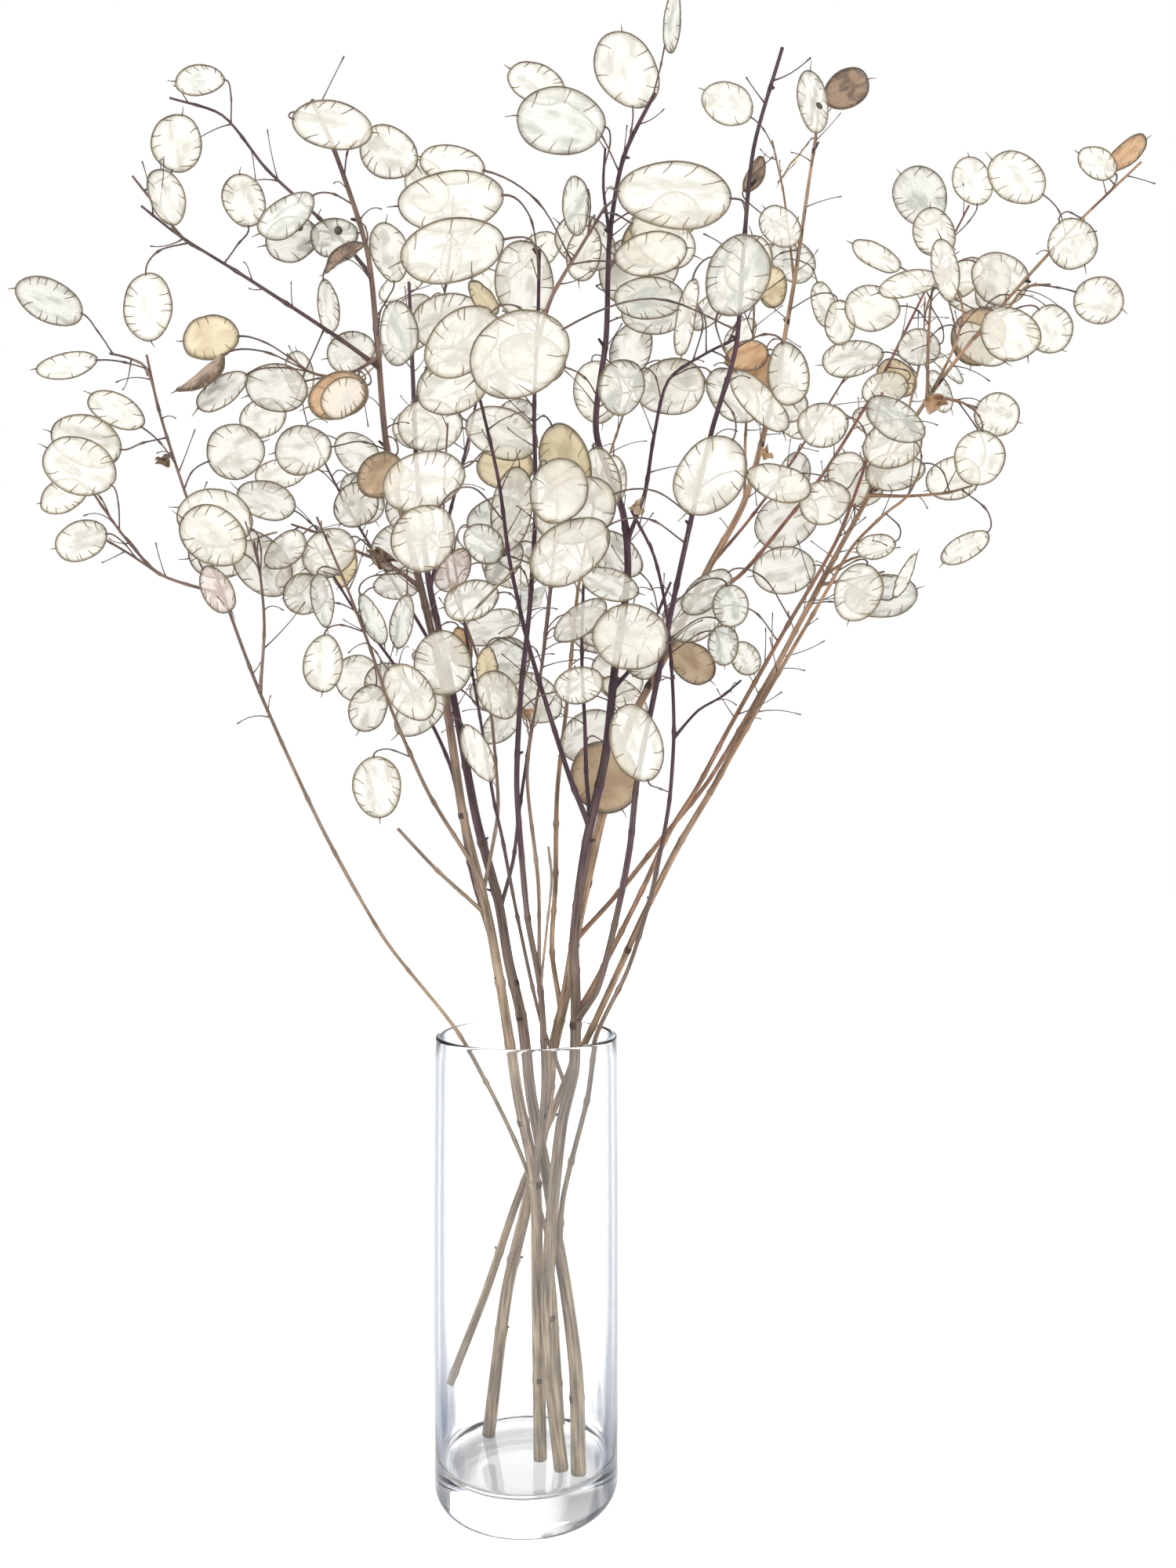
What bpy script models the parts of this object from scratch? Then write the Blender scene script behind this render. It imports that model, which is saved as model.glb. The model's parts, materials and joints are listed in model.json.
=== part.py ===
"""Dried honesty stems, with their silver seed pods, standing in a clear glass cylinder vase.

Metres, +Z up. The origin is the middle of the vase's flat foot. Six cut stems stand on the
thick glass floor, cross at a waist inside the vase and fan out above its rim. Each stem,
with its side branches, stalks and pods, grew as one piece and is one object.
"""

import itertools
import math
import random
from typing import NamedTuple

import bmesh
import bpy
import numpy as np
from mathutils import Vector
from mathutils.bvhtree import BVHTree

# The vase, a standard cylinder of 120 by 300 mm.
VASE_HEIGHT = 0.300
VASE_RADIUS = 0.060
RIM_RADIUS = 0.0590
WALL = 0.0038
FLOOR_HEIGHT = 0.026
HEEL_ROUND = 0.013
INNER_CORNER = 0.008
BELLY = (0.38, 0.62)
HEEL_INSET = 0.0005
VASE_STEPS = 36
ARC_STEPS = 4
RIM_STEPS = 6

# Gaps and limits of the stems. A foot above the wedging height is held by the wall alone.
SEAT_GAP = 0.0003
STEM_GAP = 0.0006
RIM_MARGIN = 0.0008
RIM_ZONE = 0.0064
WEDGED_ABOVE = 0.050
EASE_ROUNDS = 160
EASE_SHARE = 0.6
STEM_SIDES_LEVEL = 1
TWIG_SIDES_LEVEL = 0
WELD = 0.00001

# The pods: a thin oval plate on a thin bent stalk.
POD_THICKNESS = 0.0007
STALK_WIDTH = 0.0011
STALK_THICKNESS = 0.0009
POD_CORNERS = 10
BEAK_LENGTH = 0.0016
POD_LENGTH_MEAN = 0.038
POD_LENGTH_SPREAD = 0.0045
POD_LENGTH_LIMITS = (0.029, 0.047)
POD_GAP = 0.0006
WIDEST_SHARE = 0.92
STALK_REACH = 0.026
SHORTEST_STALK = 0.009
LEAST_RUN_IN = 0.25
TIGHTEST_BEND = -0.2
ROOT_STEP = 0.008
ROOTS_TRIED = 6

# How far a pod set by eye may give way, in metres along the sight line and in degrees.
SLIDES = (0, -0.006, 0.006, -0.012, 0.012, -0.018, 0.018, -0.026, 0.026, -0.034, 0.034)
SWINGS = (0, 14, -14)
TWISTS = (0, 16, -16)

# The rule for the other pods, which follow each other round their branch.
SEED_OF_PODS = 1187
TRIES = 30
STALK_LIMITS = (0.018, 0.032)
TURN_OF_NEXT = 2.4
BEARING_SHARE = 0.62
TIP_INSET = 0.0025
LOWEST_POD = 0.505

# The side from which the arrangement is made to be seen.
SEEN_FROM = Vector((0.040, -0.745, 0.430))


class Strand(NamedTuple):
    """A stem or branch: its name, what it grows from, end radii, pods by rule and path."""

    name: str
    parent: str
    radii: tuple
    pods: int
    path: tuple


class Placed(NamedTuple):
    """A pod set by eye: its stem, centre, length, seen width, angle of its axis, and turn."""

    stem: str
    centre: tuple
    length: float
    width: float
    angle: float
    turn: float


class Pod(NamedTuple):
    """A pod ready to be built: the stalk's points, then the plate's frame and size."""

    stem: str
    stalk: tuple
    axis: Vector
    normal: Vector
    length: float
    width: float


STEMS = {
    "stem_left": (
        Strand("main", "", (0.0017, 0.0008), 1, (
            (0.027, 0.045, 0.028), (0.014, 0.022, 0.153), (-0.004, -0.008, 0.228),
            (-0.041, -0.038, 0.304), (-0.084, -0.046, 0.365), (-0.122, -0.050, 0.434),
            (-0.159, -0.054, 0.517), (-0.182, -0.056, 0.580), (-0.200, -0.058, 0.629),
            (-0.216, -0.062, 0.682), (-0.222, -0.066, 0.714),)),
        Strand("low_arm", "main", (0.0010, 0.0007), 0, (
            (-0.188, -0.056, 0.571), (-0.216, -0.060, 0.585), (-0.234, -0.064, 0.604),
            (-0.246, -0.070, 0.622), (-0.253, -0.074, 0.634),)),
        Strand("low_twig", "low_arm", (0.0008, 0.0007), 0, (
            (-0.216, -0.060, 0.585), (-0.239, -0.050, 0.600), (-0.254, -0.046, 0.609),)),
        Strand("riser", "main", (0.0010, 0.0007), 1, (
            (-0.158, -0.054, 0.515), (-0.151, -0.070, 0.552), (-0.151, -0.078, 0.580),
            (-0.153, -0.084, 0.599),)),
        Strand("tip_arm", "main", (0.0008, 0.0007), 1, (
            (-0.216, -0.062, 0.682), (-0.222, -0.066, 0.706), (-0.236, -0.060, 0.715),
            (-0.248, -0.056, 0.719),)),
    ),
    "stem_tall_left": (
        Strand("main", "", (0.0043, 0.0012), 2, (
            (0.009, -0.007, 0.026), (0.007, -0.006, 0.148), (0.005, -0.006, 0.206),
            (-0.005, -0.013, 0.261), (-0.013, -0.018, 0.318), (-0.023, -0.020, 0.376),
            (-0.038, -0.024, 0.438), (-0.045, -0.028, 0.486), (-0.050, -0.032, 0.522),
            (-0.064, -0.040, 0.586), (-0.082, -0.050, 0.663), (-0.086, -0.060, 0.722),
            (-0.090, -0.072, 0.773), (-0.107, -0.084, 0.826), (-0.118, -0.090, 0.850),)),
        Strand("stub", "main", (0.0014, 0.0010), 0, (
            (-0.025, -0.020, 0.377), (-0.054, -0.026, 0.406), (-0.079, -0.030, 0.433),)),
        Strand("outer_arm", "main", (0.0014, 0.0007), 1, (
            (-0.031, -0.022, 0.406), (-0.058, -0.034, 0.453), (-0.072, -0.042, 0.485),
            (-0.081, -0.046, 0.508), (-0.093, -0.052, 0.545), (-0.106, -0.056, 0.580),
            (-0.122, -0.062, 0.619),)),
        Strand("dark_arm", "main", (0.0016, 0.0007), 2, (
            (-0.020, -0.019, 0.353), (-0.036, -0.002, 0.406), (-0.049, 0.006, 0.470),
            (-0.065, 0.010, 0.506), (-0.088, 0.016, 0.541), (-0.118, 0.022, 0.582),
            (-0.146, 0.030, 0.628),)),
        Strand("inner_riser", "main", (0.0012, 0.0007), 2, (
            (-0.024, -0.021, 0.392), (-0.018, -0.010, 0.442), (-0.019, -0.006, 0.467),
            (-0.026, 0.004, 0.525), (-0.043, 0.012, 0.574), (-0.054, 0.016, 0.604),
            (-0.057, 0.024, 0.653), (-0.055, 0.030, 0.708),)),
        Strand("front_riser", "main", (0.0023, 0.0009), 1, (
            (0.006, -0.006, 0.209), (0.012, -0.020, 0.263), (0.012, -0.028, 0.304),
            (0.010, -0.034, 0.336), (0.003, -0.040, 0.376), (-0.000, -0.046, 0.410),
            (-0.003, -0.054, 0.460), (-0.000, -0.064, 0.513), (0.006, -0.076, 0.563),
            (0.010, -0.090, 0.617), (0.010, -0.106, 0.668), (0.013, -0.124, 0.714),
            (0.014, -0.136, 0.741),)),
        Strand("mid_riser", "front_riser", (0.0013, 0.0007), 2, (
            (0.010, -0.034, 0.339), (0.009, -0.028, 0.397), (0.002, -0.030, 0.468),
            (0.010, -0.034, 0.524), (0.016, -0.040, 0.576), (0.022, -0.048, 0.627),)),
        Strand("short_riser", "front_riser", (0.0010, 0.0007), 0, (
            (0.011, -0.034, 0.333), (0.015, -0.046, 0.374), (0.018, -0.052, 0.403),
            (0.016, -0.054, 0.422),)),
        Strand("high_link", "front_riser", (0.0012, 0.0008), 1, (
            (0.012, -0.116, 0.699), (0.020, -0.112, 0.727), (0.035, -0.104, 0.757),
            (0.050, -0.098, 0.785),)),
        Strand("withered_arm", "main", (0.0014, 0.0007), 1, (
            (-0.063, -0.040, 0.581), (-0.082, -0.034, 0.596), (-0.103, -0.028, 0.606),
            (-0.126, -0.022, 0.618), (-0.149, -0.016, 0.627),)),
        Strand("long_reach", "main", (0.0014, 0.0007), 0, (
            (-0.085, -0.057, 0.710), (-0.105, -0.062, 0.723), (-0.129, -0.066, 0.738),
            (-0.168, -0.070, 0.762), (-0.201, -0.072, 0.782), (-0.222, -0.074, 0.798),)),
        Strand("reach_fork", "long_reach", (0.0008, 0.0007), 0, (
            (-0.199, -0.072, 0.781), (-0.212, -0.078, 0.796), (-0.224, -0.082, 0.811),)),
        Strand("top_reach", "main", (0.0012, 0.0007), 0, (
            (-0.088, -0.069, 0.760), (-0.107, -0.060, 0.785), (-0.128, -0.054, 0.807),
            (-0.156, -0.048, 0.835), (-0.184, -0.044, 0.870), (-0.217, -0.042, 0.882),)),
        Strand("side_tuft", "main", (0.0010, 0.0007), 1, (
            (-0.086, -0.058, 0.716), (-0.097, -0.072, 0.702), (-0.110, -0.084, 0.694),
            (-0.120, -0.092, 0.694), (-0.131, -0.096, 0.702),)),
    ),
    "stem_purple": (
        Strand("main", "", (0.0046, 0.0012), 2, (
            (0.038, -0.028, 0.026), (0.032, -0.016, 0.087), (0.026, -0.004, 0.132),
            (0.019, 0.003, 0.170), (0.014, 0.008, 0.204), (0.005, 0.012, 0.256), (-0.004, 0.015, 0.307),
            (-0.013, 0.018, 0.345), (-0.020, 0.022, 0.384), (-0.035, 0.028, 0.438),
            (-0.047, 0.034, 0.499), (-0.058, 0.042, 0.550), (-0.071, 0.052, 0.606),
            (-0.082, 0.070, 0.689), (-0.087, 0.084, 0.761), (-0.092, 0.098, 0.836),)),
        Strand("outer_rod", "main", (0.0019, 0.0009), 0, (
            (0.019, 0.001, 0.157), (0.024, -0.010, 0.197), (0.039, -0.026, 0.264),
            (0.051, -0.032, 0.302), (0.065, -0.034, 0.346), (0.079, -0.034, 0.391),
            (0.090, -0.036, 0.447), (0.093, -0.038, 0.489), (0.092, -0.040, 0.524),
            (0.088, -0.044, 0.566), (0.080, -0.050, 0.599), (0.066, -0.058, 0.624),)),
        Strand("rod_hook", "outer_rod", (0.0009, 0.0007), 0, (
            (0.093, -0.038, 0.489), (0.109, -0.030, 0.507), (0.124, -0.024, 0.516),
            (0.137, -0.020, 0.527),)),
        Strand("back_riser", "main", (0.0013, 0.0007), 3, (
            (-0.018, 0.021, 0.379), (-0.011, 0.036, 0.412), (-0.008, 0.050, 0.444),
            (-0.001, 0.068, 0.499), (0.008, 0.090, 0.563), (0.014, 0.112, 0.631), (0.017, 0.134, 0.703),)),
        Strand("left_back", "main", (0.0014, 0.0007), 4, (
            (-0.056, 0.041, 0.539), (-0.089, 0.072, 0.594), (-0.123, 0.100, 0.646),
            (-0.155, 0.128, 0.701), (-0.181, 0.154, 0.752),)),
        Strand("mid_back", "main", (0.0014, 0.0007), 4, (
            (-0.070, 0.050, 0.601), (-0.060, 0.088, 0.666), (-0.050, 0.128, 0.737),
            (-0.042, 0.164, 0.812), (-0.040, 0.196, 0.883),)),
        Strand("top_back", "main", (0.0011, 0.0007), 2, (
            (-0.086, 0.080, 0.737), (-0.074, 0.112, 0.802), (-0.068, 0.142, 0.870),
            (-0.067, 0.166, 0.938),)),
    ),
    "stem_centre": (
        Strand("main", "", (0.0046, 0.0011), 1, (
            (0.023, -0.019, 0.026), (0.016, -0.017, 0.087), (0.014, -0.015, 0.136),
            (0.017, -0.013, 0.191), (0.023, -0.011, 0.245), (0.031, -0.009, 0.280),
            (0.032, -0.009, 0.322), (0.031, -0.010, 0.361), (0.035, -0.012, 0.397),
            (0.040, -0.014, 0.429), (0.051, -0.018, 0.479), (0.057, -0.022, 0.534),
            (0.065, -0.026, 0.592), (0.062, -0.030, 0.630), (0.045, -0.042, 0.677),
            (0.051, -0.054, 0.730), (0.053, -0.062, 0.787), (0.061, -0.070, 0.829),
            (0.079, -0.076, 0.863),)),
        Strand("thin_riser", "main", (0.0014, 0.0007), 1, (
            (0.020, -0.010, 0.265), (0.010, -0.020, 0.312), (-0.005, -0.032, 0.383),
            (-0.013, -0.038, 0.427), (-0.018, -0.040, 0.450), (-0.025, -0.044, 0.494),
            (-0.032, -0.050, 0.538), (-0.038, -0.056, 0.578), (-0.044, -0.066, 0.618),)),
        Strand("front_rod", "main", (0.0022, 0.0009), 1, (
            (0.034, -0.009, 0.309), (0.046, -0.016, 0.331), (0.059, -0.026, 0.383),
            (0.066, -0.034, 0.422), (0.070, -0.042, 0.462), (0.080, -0.056, 0.514),
            (0.088, -0.072, 0.556), (0.096, -0.090, 0.596), (0.108, -0.118, 0.651),
            (0.118, -0.142, 0.686), (0.119, -0.162, 0.723), (0.123, -0.172, 0.773),
            (0.136, -0.180, 0.818),)),
        Strand("tan_rod", "main", (0.0019, 0.0009), 0, (
            (0.034, -0.009, 0.312), (0.048, 0.002, 0.339), (0.076, 0.004, 0.394), (0.092, 0.002, 0.429),
            (0.111, -0.002, 0.460), (0.132, -0.008, 0.500), (0.165, -0.016, 0.559),
            (0.197, -0.022, 0.615), (0.214, -0.028, 0.662), (0.223, -0.034, 0.704),)),
        Strand("crossing_arm", "main", (0.0017, 0.0008), 1, (
            (0.039, -0.014, 0.435), (0.030, -0.026, 0.461), (0.017, -0.040, 0.501),
            (0.004, -0.056, 0.544), (-0.006, -0.074, 0.590), (-0.011, -0.092, 0.631),
            (-0.019, -0.108, 0.667), (-0.025, -0.116, 0.690),)),
        Strand("cut_riser", "main", (0.0015, 0.0010), 0, (
            (0.039, -0.014, 0.437), (0.039, -0.004, 0.467), (0.038, 0.002, 0.500),
            (0.036, 0.006, 0.545), (0.037, 0.008, 0.594),)),
        Strand("high_fork", "main", (0.0013, 0.0007), 1, (
            (0.067, -0.028, 0.613), (0.075, -0.040, 0.640), (0.080, -0.052, 0.671),
            (0.088, -0.064, 0.700), (0.109, -0.078, 0.710), (0.127, -0.088, 0.715),)),
        Strand("shoot", "main", (0.0013, 0.0008), 0, (
            (0.058, -0.021, 0.521), (0.068, -0.016, 0.536), (0.081, -0.008, 0.563),
            (0.094, 0.002, 0.594),)),
        Strand("crown_left", "main", (0.0010, 0.0007), 0, (
            (0.053, -0.062, 0.787), (0.049, -0.074, 0.809), (0.050, -0.084, 0.826),)),
    ),
    "stem_tan": (
        Strand("main", "", (0.0044, 0.0010), 2, (
            (-0.027, 0.023, 0.026), (-0.015, 0.022, 0.121), (-0.003, 0.020, 0.180),
            (0.009, 0.014, 0.239), (0.017, 0.009, 0.289), (0.025, 0.007, 0.323), (0.032, 0.007, 0.364),
            (0.041, 0.008, 0.406), (0.053, 0.012, 0.457), (0.069, 0.018, 0.505), (0.094, 0.026, 0.553),
            (0.124, 0.036, 0.614), (0.148, 0.044, 0.659), (0.169, 0.056, 0.734), (0.186, 0.070, 0.817),
            (0.199, 0.082, 0.896), (0.210, 0.092, 0.964),)),
        Strand("pale_riser", "main", (0.0018, 0.0008), 3, (
            (0.020, 0.008, 0.313), (0.016, 0.018, 0.351), (0.018, 0.026, 0.396), (0.019, 0.034, 0.458),
            (0.025, 0.056, 0.519), (0.033, 0.088, 0.609), (0.047, 0.120, 0.687), (0.063, 0.142, 0.742),
            (0.081, 0.166, 0.800),)),
        Strand("lower_arm", "main", (0.0018, 0.0009), 0, (
            (0.033, 0.007, 0.359), (0.061, 0.020, 0.391), (0.092, 0.028, 0.429), (0.123, 0.034, 0.467),
            (0.161, 0.042, 0.531), (0.198, 0.048, 0.595), (0.226, 0.054, 0.648), (0.256, 0.062, 0.708),)),
        Strand("red_arm", "main", (0.0012, 0.0007), 2, (
            (0.124, 0.036, 0.613), (0.151, 0.062, 0.648), (0.184, 0.086, 0.694), (0.212, 0.106, 0.738),
            (0.235, 0.122, 0.776),)),
        Strand("red_reach", "main", (0.0015, 0.0007), 1, (
            (0.111, 0.032, 0.589), (0.143, 0.040, 0.606), (0.176, 0.050, 0.645), (0.207, 0.060, 0.685),
            (0.248, 0.076, 0.752), (0.292, 0.096, 0.837), (0.324, 0.108, 0.898),)),
        Strand("high_left", "main", (0.0011, 0.0007), 3, (
            (0.149, 0.044, 0.659), (0.154, 0.084, 0.716), (0.162, 0.118, 0.775), (0.170, 0.150, 0.849),
            (0.166, 0.176, 0.918),)),
        Strand("crown_fork", "main", (0.0009, 0.0007), 0, (
            (0.188, 0.071, 0.823), (0.184, 0.096, 0.899), (0.178, 0.112, 0.949),)),
    ),
    "stem_right": (
        Strand("main", "", (0.0029, 0.0008), 1, (
            (-0.049, 0.006, 0.069), (-0.029, 0.017, 0.123), (-0.007, 0.025, 0.181),
            (0.014, 0.027, 0.236), (0.026, 0.025, 0.265), (0.043, 0.021, 0.300), (0.060, 0.016, 0.338),
            (0.075, 0.012, 0.372), (0.099, 0.008, 0.421), (0.123, 0.004, 0.462), (0.157, -0.002, 0.528),
            (0.197, -0.004, 0.604), (0.243, -0.004, 0.685), (0.263, -0.004, 0.716),
            (0.295, -0.002, 0.757), (0.358, 0.004, 0.827), (0.405, 0.010, 0.873),)),
        Strand("edge_rod", "main", (0.0016, 0.0008), 1, (
            (0.120, 0.005, 0.456), (0.158, -0.014, 0.526), (0.189, -0.022, 0.580),
            (0.206, -0.028, 0.610), (0.225, -0.034, 0.629), (0.237, -0.038, 0.638),
            (0.244, -0.042, 0.652),)),
        Strand("low_spray", "main", (0.0010, 0.0007), 0, (
            (0.195, -0.004, 0.597), (0.206, -0.024, 0.603), (0.216, -0.036, 0.603),)),
        Strand("low_spike", "main", (0.0010, 0.0007), 0, (
            (0.192, -0.004, 0.590), (0.211, -0.014, 0.593), (0.228, -0.020, 0.596),)),
        Strand("side_rod", "main", (0.0012, 0.0007), 0, (
            (0.224, -0.004, 0.648), (0.245, -0.016, 0.645), (0.268, -0.024, 0.645),
            (0.281, -0.028, 0.648),)),
        Strand("upright_twig", "main", (0.0012, 0.0007), 1, (
            (0.261, -0.004, 0.711), (0.265, 0.012, 0.748), (0.269, 0.020, 0.783), (0.274, 0.026, 0.812),)),
        Strand("node_twig", "main", (0.0010, 0.0007), 1, (
            (0.263, -0.004, 0.716), (0.270, -0.022, 0.734), (0.274, -0.032, 0.754),
            (0.269, -0.036, 0.767),)),
        Strand("node_right", "main", (0.0010, 0.0007), 0, (
            (0.261, -0.004, 0.713), (0.275, -0.018, 0.705), (0.284, -0.026, 0.696),)),
        Strand("far_side", "main", (0.0010, 0.0007), 0, (
            (0.290, -0.002, 0.751), (0.306, -0.016, 0.762), (0.317, -0.020, 0.776),
            (0.333, -0.020, 0.778),)),
        Strand("far_back", "main", (0.0010, 0.0007), 2, (
            (0.243, -0.004, 0.684), (0.264, 0.044, 0.734), (0.284, 0.088, 0.786), (0.296, 0.124, 0.837),)),
    ),
}

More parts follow.
